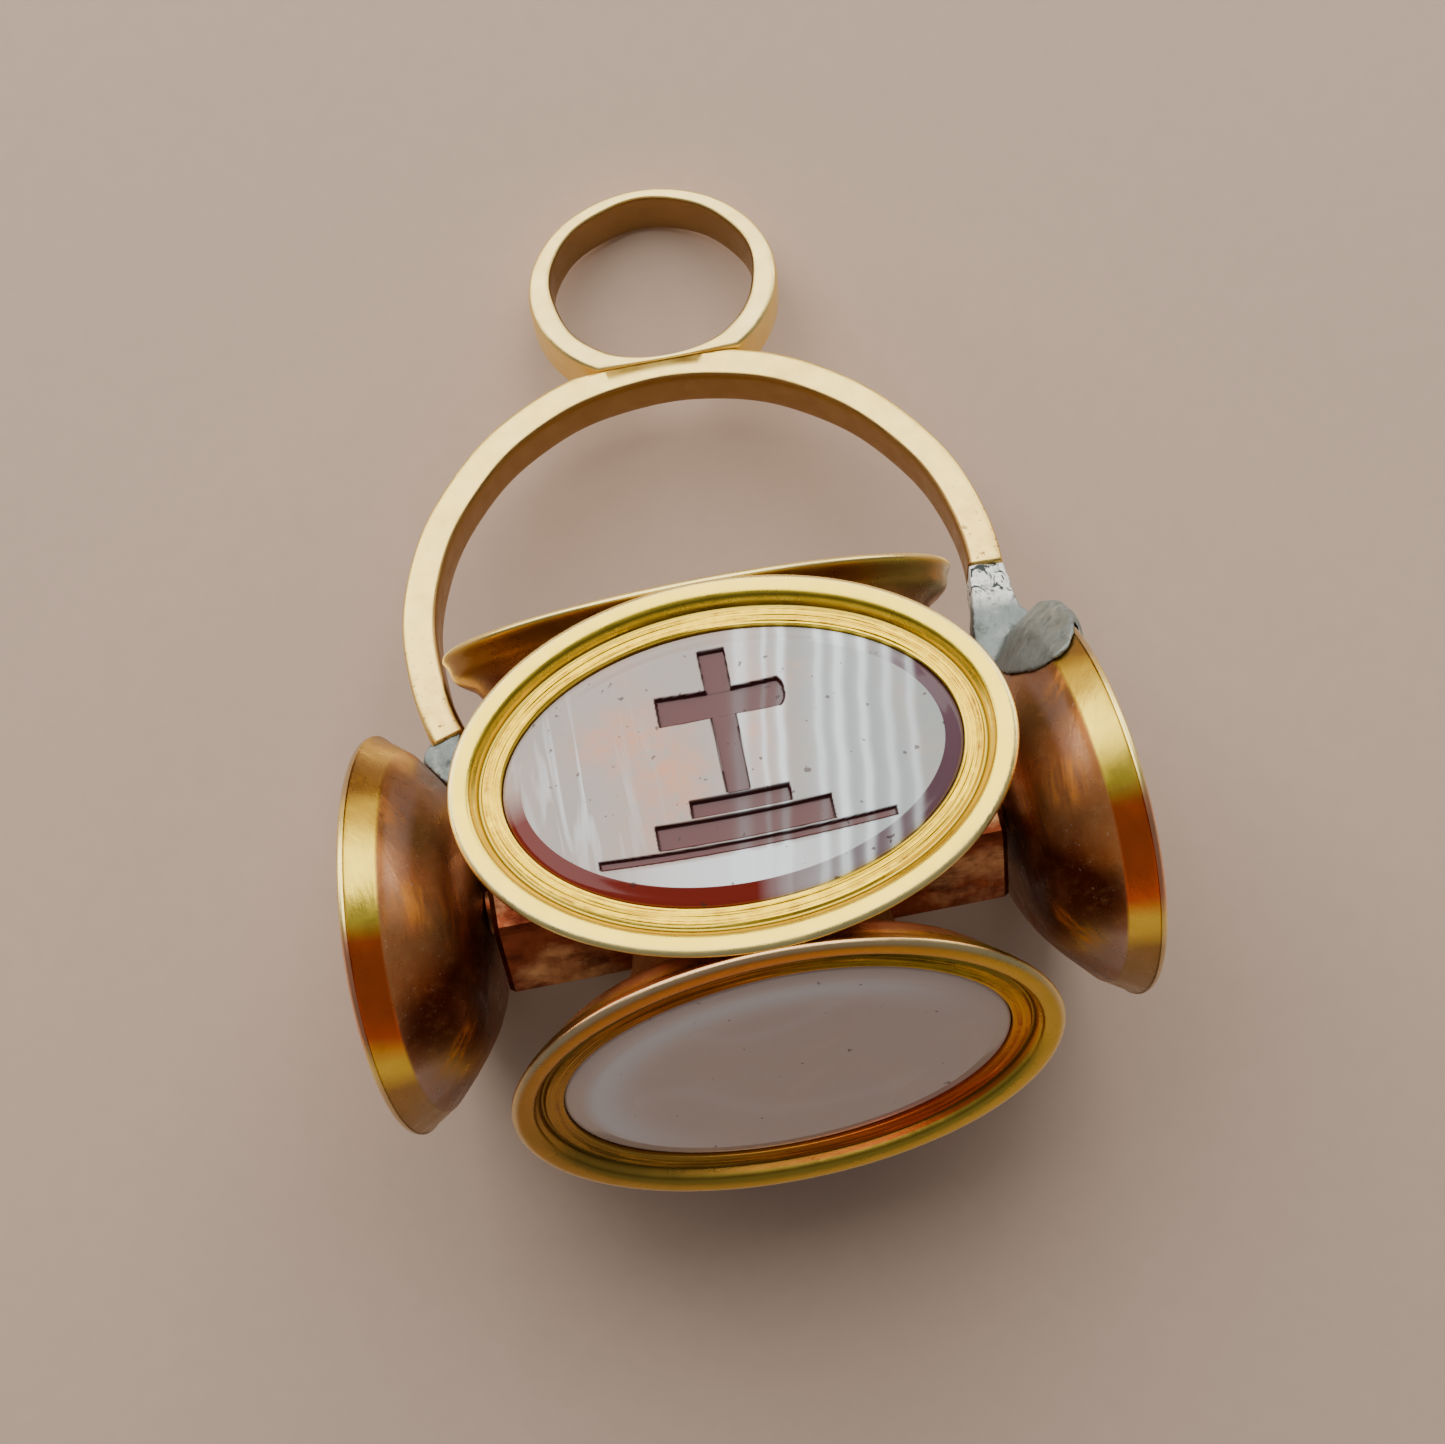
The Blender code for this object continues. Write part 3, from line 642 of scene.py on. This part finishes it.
def plain_bands(x, y, half_long, half_short, seed):
    """Pale border that follows the outline, strengthened toward the upper left as a painted sheen, with a faint
    curl inside it.
    """
    rim = np.hypot(x / half_long, y / half_short)
    from_border = rim - BORDER_AT - BORDER_WAVER * waves(x, y, seed, BORDER_REACH)
    border = fade(from_border, 0, np.where(from_border < 0, BORDER_INWARD, BORDER_OUTWARD))
    # Painted sheen: the border is stronger toward the upper left.
    side = 0.50 + 0.50 * np.tanh((y - SHEEN_SLANT * x) / SHEEN_FADE)
    curl = fade(waves(x, y, seed + 5, CURL_REACH), 0, CURL_WIDTH) * (rim < CURL_END)
    return np.clip(BORDER_WEIGHT * border * side + CURL_WEIGHT * curl, 0, 1)


def border_paint(half_long, half_short, seed):
    """Function that paints a plain stone's bands, for make_stone."""
    return lambda x, y: {"band": plain_bands(x, y, half_long, half_short, seed)}


def make_stone(name, half_long, half_short, place, body, mat, long_cells, short_cells, sink, paint):
    """One stone, with the values its material reads painted on it."""
    points, faces, bevel = stone_mesh(half_long, half_short, long_cells, short_cells, sink)
    values = paint(points[:, 0], points[:, 1])
    values["bevel"] = bevel
    piece = make_piece(name + "_gem", in_place(points, *place), faces, mat, body, values)
    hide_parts(name + "_stone")
    return piece


for number, (seal, colours) in enumerate(STONES.items()):
    at_side = seal in side_places
    sizes = (CUP_HALF_LONG, CUP_HALF_SHORT) if at_side else (WHEEL_HALF_LONG, WHEEL_HALF_SHORT)
    place = side_places[seal] if at_side else wheel_places[seal]
    make_stone(
        seal, *sizes, place, BOW_BODY if at_side else WHEEL_BODY, agate(seal + "_agate", *colours),
        GRID_LONG, GRID_SHORT, None, border_paint(sizes[0] - STONE_EDGE, sizes[1] - STONE_EDGE, number + 3),
    )

# Front stone
# A banded agate with a cross on two steps and a ground line, cut in with small wheels. The floor
# of each cut is flat, its walls are steep, and the level lines bow up a little at their ends.
CROSS_DEPTH = 0.24
WALL_WIDTH = 0.11
BAR_TOP = 4.84
BAR_HALF_TOP = 0.56
BAR_HALF_FOOT = 0.48
ARM_HALF = 2.52
ARM_LOW = 1.94
ARM_HIGH = 3.12
ARM_FLARE = 0.05
# The cross's right arm ends in a rounded oval: its middle, squash across and radius.
ARM_ROUND = (2.1, 2.55)
ARM_SQUASH = 0.62
ARM_RADIUS = 0.44
# Shares of the full depth that each cut has.
BAR_SHARE = 0.80
ARM_SHARE = 0.88
STEP_ONE_SHARE = 0.95
STEP_TWO_SHARE = 0.80
GROUND_SHARE = 0.55
FLOOR_SHARE = 0.4
# Steps and ground line: half length, lower and upper edge.
STEP_ONE = (1.95, -2.05, -1.29)
STEP_TWO = (3.40, -3.16, -2.10)
GROUND = (5.70, -3.62, -3.20)
HAND_LIFT = 0.006
FRONT_LONG_CELLS = 330
FRONT_SHORT_CELLS = 220
BAND_SLANT = 0.163
BAND_WAVE_WIDE = 0.05
BAND_WAVE_FINE = 0.025
# White bands: place along the slant, width and weight.
BANDS = (
    (0.35, 0.30, 0.75), (1.28, 0.10, 0.70), (1.95, 0.16, 1.00), (3.42, 0.16, 0.70),
    (4.20, 0.20, 0.95), (5.15, 0.17, 0.85), (6.10, 0.18, 0.60), (7.00, 0.16, 0.55),
)
TRAIL_WEIGHT = 0.45
TRAIL_LENGTH = 0.45
LENS_TOP = -3.68
LENS_FADE = 0.12
LENS_AT = -0.9
LENS_HALF = 3.6
LENS_WEIGHT = 0.75
PEACH_SPOTS = (
    ((-2.4, 0.2), (1.8, 2.2), 1.0), ((-4.6, 1.8), (1.6, 1.0), 0.7), ((1.1, 1.4), (0.45, 2.4), 0.8),
    ((3.0, 3.2), (1.6, 0.7), 0.5),
)
# Fine scratches on the left, painted white where the table's sheen lights them.
SCORED_SPOTS = (((-6.0, 0.0), (1.9, 3.2), 1.0),)
PEACH_UNEVEN = 0.35
PEACH_REACH = 0.7
SLOPE_NUDGE = 0.03
RIGHT_FROM = 0.8
RIGHT_FADE = 3.5
UPPER_SLANT = 0.25
UPPER_FROM = 1.2
UPPER_FADE = 1.5
# The table's lilac and grey are a painted sky reflection over the stone's red-brown body.
TABLE_LILAC_REFLECTION = (0.45, 0.365, 0.325)
TABLE_PEACH = (0.78, 0.31, 0.14)
TABLE_GREY = (0.30, 0.335, 0.330)
BAND_WHITE = (0.86, 0.93, 0.98)
CUT_PLUM = (0.110, 0.035, 0.035)
CUT_WALL = (0.030, 0.004, 0.004)
BEVEL_RED = (0.15, 0.014, 0.008)
BEVEL_MAUVE = (0.105, 0.055, 0.072)
SPECK_BROWN = (0.05, 0.02, 0.015)


def box_reach(x, y, half, low, high):
    """How far a point is outside a level block, negative inside."""
    return np.maximum(np.abs(x) - half, np.abs(y - (low + high) / 2) - (high - low) / 2)


def cut(reach, depth):
    """Depth of one cut: nothing outside, then down its wall to a flat floor."""
    wall = np.clip(-reach / WALL_WIDTH, 0, 1)
    return depth * wall * wall * (3 - 2 * wall)


def cross_depth(x, y):
    """Deepest of all the cuts at x, y, with the level lines bowed up toward their ends."""
    y = y - HAND_LIFT * x * x
    share = np.clip((y - STEP_ONE[2]) / (BAR_TOP - STEP_ONE[2]), 0, 1)
    bar_half = BAR_HALF_FOOT + (BAR_HALF_TOP - BAR_HALF_FOOT) * share
    bar = box_reach(x / bar_half, y, 1.0, STEP_ONE[2] + 0.02, BAR_TOP)
    bar *= np.where(np.abs(x) > 0.9 * bar_half, bar_half, 1)
    flare = ARM_FLARE * np.abs(x) / ARM_HALF
    arms = box_reach(x, y, ARM_HALF, ARM_LOW - flare, ARM_HIGH + flare)
    past_round = np.clip(x - ARM_ROUND[0], 0, None)
    arms = np.maximum(arms, np.hypot(past_round, (y - ARM_ROUND[1]) * ARM_SQUASH) - ARM_RADIUS)
    return np.max([
        cut(bar, CROSS_DEPTH * BAR_SHARE),
        cut(arms, CROSS_DEPTH * ARM_SHARE),
        cut(box_reach(x, y, *STEP_ONE), CROSS_DEPTH * STEP_ONE_SHARE),
        cut(box_reach(x, y, *STEP_TWO), CROSS_DEPTH * STEP_TWO_SHARE),
        cut(box_reach(x, y, *GROUND), CROSS_DEPTH * GROUND_SHARE),
    ], axis=0)


def paint_front(x, y):
    """Bands, the white lens under the ground line, cut floors and walls, the peach cloud and the
    scored patch, its scratches painted white where the sheen lights them, worked out for each vertex."""
    along = x - BAND_SLANT * y + BAND_WAVE_WIDE * np.sin(0.9 * y + 0.5)
    along = along + BAND_WAVE_FINE * np.sin(2.6 * y + 1.7 * x)
    band = np.zeros_like(x)
    for centre, width, weight in BANDS:
        trail = TRAIL_WEIGHT * np.exp(-np.clip(centre - along, 0, None) / TRAIL_LENGTH) * (along < centre)
        band += weight * np.clip(fade(along, centre, width) + trail, 0, 1)
    under_ground = np.clip((LENS_TOP - y + HAND_LIFT * x * x) / LENS_FADE, 0, 1)
    band += LENS_WEIGHT * under_ground * np.exp(-((x - LENS_AT) / LENS_HALF) ** 4)
    inside = cross_depth(x, y)
    slope = np.hypot(cross_depth(x + SLOPE_NUDGE, y) - inside, cross_depth(x, y + SLOPE_NUDGE) - inside)
    slope = slope / SLOPE_NUDGE
    return {
        "band": np.clip(band, 0, 1),
        "cut": np.clip(inside / (CROSS_DEPTH * FLOOR_SHARE), 0, 1),
        "wall": np.clip(slope, 0, 1),
        "peach": np.clip(spots(x, y, PEACH_SPOTS) + PEACH_UNEVEN * waves(x, y, 11, PEACH_REACH), 0, 1),
        "fine": np.clip(spots(x, y, SCORED_SPOTS), 0, 1),
        "right": np.clip((along - RIGHT_FROM) / RIGHT_FADE, 0, 1),
        "upper": np.clip((y - UPPER_SLANT * x - UPPER_FROM) / UPPER_FADE, 0, 1),
    }


def front_agate():
    """Polished banded agate: a lilac-grey table that is a painted sky reflection over the red-brown body, white
    bands, plum cuts and a red-brown bevel.
    """
    mat, tree, shader = new_material("front_agate")
    mottle = ramp(tree, noise(tree, 1500, detail=6, rough=0.6), 0.28, 0.78)
    cloud = ramp(tree, noise(tree, 260, detail=4), 0.4, 0.7)
    # Painted sky reflection: the table's lilac and grey stand in for the sheen on the red-brown stone.
    body = blend(tree, times(tree, cloud, 0.35), TABLE_LILAC_REFLECTION, TABLE_GREY)
    body = blend(tree, painted(tree, "right"), body, TABLE_GREY)
    body = blend(tree, times(tree, painted(tree, "peach"), mottle), body, TABLE_PEACH)
    body = blend(tree, times(tree, painted(tree, "band"), 0.8), body, BAND_WHITE)
    # Fine scratches on the left, painted white where the sheen lights them.
    scored = noise(tree, 1500, detail=2, rough=0.5, stretch=(1, 0.08, 0.08), distortion=0.6)
    scored = ramp(tree, scored, 0.56, 0.62)
    body = blend(tree, times(tree, times(tree, painted(tree, "fine"), scored), 0.5), body, BAND_WHITE)
    floor = blend(tree, times(tree, painted(tree, "band"), 0.30), CUT_PLUM, TABLE_GREY)
    colour = blend(tree, painted(tree, "cut"), body, floor)
    colour = blend(tree, painted(tree, "wall"), colour, CUT_WALL)
    side = blend(tree, painted(tree, "right"), BEVEL_RED, BEVEL_MAUVE)
    side = blend(tree, times(tree, painted(tree, "upper"), 0.88), side, colour)
    crossing = times(tree, painted(tree, "band"), times(tree, painted(tree, "right"), 0.8))
    side = blend(tree, crossing, side, BAND_WHITE)
    colour = blend(tree, painted(tree, "bevel"), colour, side)
    speck = ramp(tree, noise(tree, 2600, detail=2, rough=0.4), 0.715, 0.735)
    colour = blend(tree, times(tree, speck, 0.7), colour, SPECK_BROWN)
    tree.links.new(colour, shader.inputs["Base Color"])
    socket_value(shader, Roughness=0.09, IOR=1.36)
    bump(tree, shader, noise(tree, 1300, detail=3, rough=0.5, stretch=(0.25, 1, 1)), 0.03, 0.00003)
    return mat


make_stone(
    "front", WHEEL_HALF_LONG, WHEEL_HALF_SHORT, wheel_places["front"], WHEEL_BODY, front_agate(),
    FRONT_LONG_CELLS, FRONT_SHORT_CELLS, cross_depth, paint_front,
)

# Bow
# A flat gold strip bent to an arch, its edges rubbed round, with a flat filed on top where the
# ring is soldered on. Its face is pale and pitted toward the ends.
BOW_CENTRE = (0.45, 11.77)
BOW_OUTER = 13.22
BOW_INNER = 11.66
BOW_HALF_DEPTH = 1.135
BOW_START = math.radians(-2.6)
BOW_END = math.radians(198.6)
SEAT_Y = 24.38
BOW_STATIONS = 300
CORNER = 0.20
SECTION_POINTS = 44
BOW_CREAM = (0.95, 0.72, 0.22)
BOW_PEACH = (0.88, 0.53, 0.14)
BOW_PIT = (0.20, 0.10, 0.05)
# Painted shade on the inner side of the bow and in the ring's bore.
BORE_SHADE_BROWN = (0.24, 0.115, 0.040)
END_LENGTH = 0.55
HAND_WIDE = 0.020
HAND_FINE = 0.014
HAND_DEPTH = 0.012


def rounded_section(half_width, half_depth, corner, count):
    """Rounded oblong, as a superellipse: both halves raised to a high power, scaled to size."""
    turn = np.linspace(0, 2 * np.pi, count, endpoint=False) + np.pi / count
    power = 2.0 / (2.0 * min(half_width, half_depth) / corner * 0.85)
    wide = half_width * np.sign(np.cos(turn)) * np.abs(np.cos(turn)) ** power
    deep = half_depth * np.sign(np.sin(turn)) * np.abs(np.sin(turn)) ** power
    return wide, deep


def strip_gold(name, cream, peach):
    """Rubbed gold strip: pale faces, peach toward the worn ends, small dark pits and scratches, and painted shade
    on the inner side.
    """
    mat, tree, shader = new_material(name)
    worn = ramp(tree, noise(tree, 520, detail=6, rough=0.65), 0.40, 0.70)
    pits = ramp(tree, noise(tree, 3400, detail=3, rough=0.5), 0.62, 0.70)
    fine = ramp(tree, noise(tree, 1900, detail=8, rough=0.75), 0.42, 0.72)
    colour = blend(tree, times(tree, worn, 0.40), cream, peach)
    colour = blend(tree, times(tree, painted(tree, "end"), fine), colour, peach)
    colour = blend(tree, times(tree, painted(tree, "end"), pits), colour, BOW_PIT)
    # Painted shade on the inner side.
    colour = blend(tree, times(tree, painted(tree, "inside"), 0.85), colour, BORE_SHADE_BROWN)
    tree.links.new(colour, shader.inputs["Base Color"])
    socket_value(shader, Metallic=1.0)
    tree.links.new(ramp(tree, noise(tree, 1200, detail=6), -0.25, 1.7), shader.inputs["Roughness"])
    first = bump(tree, shader, noise(tree, 2800, detail=4), 0.14, 0.00004)
    bump(tree, shader, noise(tree, 700, detail=3), 0.12, 0.00012, first)
    return mat


def bow_points():
    """The strip's section carried round the arch; the outer side stops at the filed flat."""
    half = (BOW_OUTER - BOW_INNER) / 2
    wide, deep = rounded_section(half, BOW_HALF_DEPTH, CORNER, SECTION_POINTS)
    turn = np.linspace(BOW_START, BOW_END, BOW_STATIONS)[:, None]
    hand = HAND_WIDE * np.sin(7 * turn) + HAND_FINE * np.sin(17 * turn + 1)
    reach = (BOW_OUTER + BOW_INNER) / 2 + wide[None, :] + hand * (np.abs(wide[None, :]) > 0.5 * half)
    x = BOW_CENTRE[0] + reach * np.cos(turn)
    y = BOW_CENTRE[1] + reach * np.sin(turn)
    y = np.where(wide[None, :] > 0, np.minimum(y, SEAT_Y), y)
    z = deep[None, :] * (1 - HAND_DEPTH * np.sin(11 * turn)) * np.ones_like(x)
    from_end = np.minimum(turn - BOW_START, BOW_END - turn)
    values = {
        "end": (np.clip(1 - from_end / END_LENGTH, 0, 1) * np.ones_like(x)).ravel(),
        # Inner side of the strip, for its painted shade.
        "inside": ((wide[None, :] < -0.80 * half) * np.ones_like(x)).ravel(),
    }
    return np.stack([x, y, z], -1), values


bow_grid, bow_values = bow_points()
bow_faces = round_faces(*bow_grid.shape[:2])
bow_faces.append(list(range(SECTION_POINTS)))
bow_faces.append(list(range((BOW_STATIONS - 1) * SECTION_POINTS, BOW_STATIONS * SECTION_POINTS)))
bow_piece = make_piece(
    "bow_strip", in_place(bow_grid.reshape(-1, 3)), bow_faces,
    strip_gold("bow_gold", BOW_CREAM, BOW_PEACH), BOW_BODY, bow_values,
)
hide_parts("bow")

# Suspension ring
# A short length of oval gold tube, filed flat underneath and soldered to the bow. Its face is
# rubbed smooth and its bore is slightly lumpy, with painted shade darkening it to brown.
RING_X = 1.16
RING_OUT_Y = 28.75
RING_OUT_HALF = (5.83, 5.25)
RING_IN_Y = 29.00
RING_IN_HALF = (4.68, 4.35)
RING_HALF_DEPTH = 1.25
RING_GAP = 0.03
RING_STATIONS = 240
RING_FLARE = 1.15
RING_CORNER = 0.16
LUMP_WIDE = 0.035
LUMP_FINE = 0.025
RING_CREAM = (0.95, 0.74, 0.27)


def ring_points():
    """At each turn the section spans from the bore's oval to the outer oval, which stops at the flat."""
    turn = np.linspace(0, 2 * np.pi, RING_STATIONS, endpoint=False)[:, None]
    lump = LUMP_WIDE * np.sin(5 * turn + 0.7) + LUMP_FINE * np.sin(9 * turn)
    out_x = RING_X + RING_OUT_HALF[0] * np.cos(turn)
    out_y = np.maximum(RING_OUT_Y + RING_OUT_HALF[1] * np.sin(turn), SEAT_Y + RING_GAP)
    in_x = RING_X + (RING_IN_HALF[0] + lump) * np.cos(turn)
    in_y = RING_IN_Y + (RING_IN_HALF[1] + lump * (np.sin(turn) > -0.5)) * np.sin(turn)
    wide, deep = rounded_section(0.5, RING_HALF_DEPTH / RING_FLARE, RING_CORNER, SECTION_POINTS)
    share = 0.5 + wide[None, :]
    x = in_x + (out_x - in_x) * share
    y = in_y + (out_y - in_y) * share
    z = deep[None, :] * RING_FLARE * np.ones_like(x)
    values = {
        "end": np.zeros(x.size),
        # The bore, for its painted shade.
        "inside": ((share < 0.10) * np.ones_like(x)).ravel(),
    }
    return np.stack([x, y, z], -1), values


ring_grid, ring_values = ring_points()
ring_faces = (np.array(round_faces(RING_STATIONS + 1, SECTION_POINTS)) % ring_values["end"].size).tolist()
ring_piece = make_piece(
    "ring_band", in_place(ring_grid.reshape(-1, 3)), ring_faces,
    strip_gold("ring_gold", RING_CREAM, BOW_PEACH), BOW_BODY, ring_values,
)
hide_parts("suspension_ring")

# Solder repairs
# Grey soft solder melted over both ends of the bow: a splice and a wide web on the right, a small
# patch on the left. It is lumpy and matt, speckled with dark pits and bright rubbed spots.
SOLDER_GREY = (0.25, 0.28, 0.265)
SOLDER_DARK = (0.05, 0.06, 0.055)
SOLDER_BRIGHT = (0.80, 0.80, 0.76)
SPLICE_FOOT = 8.9
SPLICE_FADE = 0.7
VOXEL = 0.10
SMOOTH_ROUNDS = 5
SWELL = 0.022


def solder_metal():
    """Dull tin and lead: grey, darker in the pits, bright where it is rubbed."""
    mat, tree, shader = new_material("solder_metal")
    pits = ramp(tree, noise(tree, 1500, detail=8, rough=0.75), 0.52, 0.68)
    rubbed_and_highlight = ramp(tree, noise(tree, 700, detail=6, rough=0.7), 0.55, 0.70)
    colour = blend(tree, times(tree, rubbed_and_highlight, 0.35), SOLDER_GREY, SOLDER_BRIGHT)
    colour = blend(tree, times(tree, painted(tree, "splice"), 0.9), colour, SOLDER_BRIGHT)
    rings = ramp(tree, noise(tree, 1900, detail=3, rough=0.6, distortion=1.5), 0.52, 0.60)
    colour = blend(tree, times(tree, painted(tree, "splice"), rings), colour, SOLDER_DARK)
    colour = blend(tree, times(tree, pits, 0.7), colour, SOLDER_DARK)
    tree.links.new(colour, shader.inputs["Base Color"])
    socket_value(shader, Metallic=0.85)
    tree.links.new(ramp(tree, noise(tree, 1000, detail=6), -0.6, 1.2), shader.inputs["Roughness"])
    first = bump(tree, shader, noise(tree, 1600, detail=8, rough=0.7), 0.5, 0.0001)
    bump(tree, shader, noise(tree, 500, detail=4), 0.4, 0.0002, first)
    return mat


def melted(node_name, mat):
    """A solder solid remeshed finely into quads and smoothed, then pushed in and out along its normals
    by a sum of sines, so that its corners look melted."""
    solid = frame["nodes"][node_name].data.copy()
    shell = bmesh.new()
    shell.from_mesh(solid)
    bmesh.ops.remove_doubles(shell, verts=shell.verts, dist=1e-7)
    shell.to_mesh(solid)
    shell.free()
    draft = bpy.data.objects.new(node_name + "_draft", solid)
    bpy.context.scene.collection.objects.link(draft)
    voxels = draft.modifiers.new("voxels", "REMESH")
    voxels.mode = "VOXEL"
    voxels.voxel_size = VOXEL * MM
    smooth = draft.modifiers.new("smooth", "SMOOTH")
    smooth.factor = 0.5
    smooth.iterations = SMOOTH_ROUNDS
    graph = bpy.context.evaluated_depsgraph_get()
    mesh = bpy.data.meshes.new_from_object(draft.evaluated_get(graph))
    bpy.data.objects.remove(draft, do_unlink=True)
    count = len(mesh.vertices)
    points = np.empty(count * 3)
    normals = np.empty(count * 3)
    mesh.vertices.foreach_get("co", points)
    mesh.vertices.foreach_get("normal", normals)
    points = points.reshape(-1, 3)
    normals = normals.reshape(-1, 3)
    x, y, z = (points / MM).T
    swell = np.sin(2.9 * x + 1.3 * z) * np.sin(3.4 * y + 0.8)
    swell += 0.6 * np.sin(6.1 * x - 4.7 * y) * np.sin(5.3 * z)
    points += normals * (SWELL * MM) * (swell[:, None] - 0.6)
    corners = np.empty(len(mesh.loops), np.int32)
    mesh.loops.foreach_get("vertex_index", corners)
    along_strip = ((points - axle_at) / MM) @ about_x(-lie_tilt)
    values = {"splice": np.clip((along_strip[:, 1] - SPLICE_FOOT) / SPLICE_FADE, 0, 1)}
    faces = corners.reshape(-1, 4).tolist()
    piece = make_piece(node_name + "_melt", points, faces, mat, BOW_BODY, values)
    bpy.data.meshes.remove(mesh)
    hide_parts(node_name)
    return piece


solder = solder_metal()
for repair in ("right_solder", "left_solder"):
    melted(repair, solder)

# Floor, light and camera
# A plain pale floor, one large soft light beyond the ring, two weaker ones at the sides and an
# even sky. The camera stands where the photograph was taken, close and almost straight above.
# The floor's half width is in metres, the sensor in millimetres.
FLOOR_HALF = 0.5
FLOOR_COLOUR = (0.52, 0.375, 0.285)
CAMERA_TURN = (-0.4229, 0.0303, 0.1897)
CAMERA_SHIFT = (0.9556, -5.9053)
CAMERA_AWAY = 100.0
FOCAL_PIXELS = 2386.2
IMAGE_WIDTH = 1445
SENSOR = 36.0
# Name, direction in the camera's axes, distance and size in metres, watts, colour.
LIGHTS = (
    ("key", (-0.20, 0.78, 0.66), 0.45, 0.60, 3.9, (1.0, 0.985, 0.95)),
    ("left_panel", (-0.87, 0.50, 0.08), 0.40, 0.26, 0.7, (1.0, 0.97, 0.92)),
    ("right_panel", (0.62, 0.78, 0.08), 0.40, 0.26, 0.7, (1.0, 0.97, 0.92)),
)
SKY_COLOUR = (0.92, 0.95, 1.0, 1.0)
SKY_STRENGTH = 0.20


def world_matrix(turn, at):
    """Placement matrix from a turn and a place."""
    full = np.eye(4)
    full[:3, :3] = turn
    full[:3, 3] = at
    return Matrix(full.tolist())


def make_floor():
    """Matt floor under the seal."""
    mat, tree, shader = new_material("floor_paper")
    grain = ramp(tree, noise(tree, 900, detail=5), 0.3, 0.7)
    lighter = tuple(min(1.0, c * 1.04) for c in FLOOR_COLOUR)
    tree.links.new(blend(tree, grain, FLOOR_COLOUR, lighter), shader.inputs["Base Color"])
    socket_value(shader, Roughness=0.9)
    mesh = bpy.data.meshes.new("floor")
    h = FLOOR_HALF
    mesh.from_pydata([(-h, -h, 0), (h, -h, 0), (h, h, 0), (-h, h, 0)], [], [(0, 1, 2, 3)])
    mesh.materials.append(mat)
    floor = bpy.data.objects.new("floor", mesh)
    bpy.context.scene.collection.objects.link(floor)


def make_light(name, direction, distance, size, power, colour):
    """Square soft light aimed at the seal; direction is in the camera's axes."""
    data = bpy.data.lights.new(name, "AREA")
    data.shape = "SQUARE"
    data.size = size
    data.energy = power
    data.color = colour
    light = bpy.data.objects.new(name, data)
    bpy.context.scene.collection.objects.link(light)
    away = camera_turn @ (np.array(direction, float) / np.linalg.norm(direction))
    across = np.cross((0, 0, 1), away)
    across = across / np.linalg.norm(across)
    up = np.cross(away, across)
    light.matrix_world = world_matrix(np.stack([across, up, away], 1), axle_at + away * distance)


make_floor()
seen_turn = about_z(CAMERA_TURN[2]) @ about_y(CAMERA_TURN[1]) @ about_x(CAMERA_TURN[0])
camera_turn = about_x(-lie_tilt) @ seen_turn.T
camera_from = seen_turn.T @ np.array([-CAMERA_SHIFT[0], -CAMERA_SHIFT[1], CAMERA_AWAY])
camera_data = bpy.data.cameras.new("camera")
camera_data.sensor_width = SENSOR
camera_data.lens = FOCAL_PIXELS / IMAGE_WIDTH * SENSOR
camera_data.clip_start = 0.005
camera = bpy.data.objects.new("camera", camera_data)
bpy.context.scene.collection.objects.link(camera)
camera.matrix_world = world_matrix(camera_turn, in_place(camera_from))
bpy.context.scene.camera = camera

for light_values in LIGHTS:
    make_light(*light_values)

world = bpy.data.worlds.new("sky")
world.use_nodes = True
world.node_tree.nodes["Background"].inputs["Color"].default_value = SKY_COLOUR
world.node_tree.nodes["Background"].inputs["Strength"].default_value = SKY_STRENGTH
bpy.context.scene.world = world
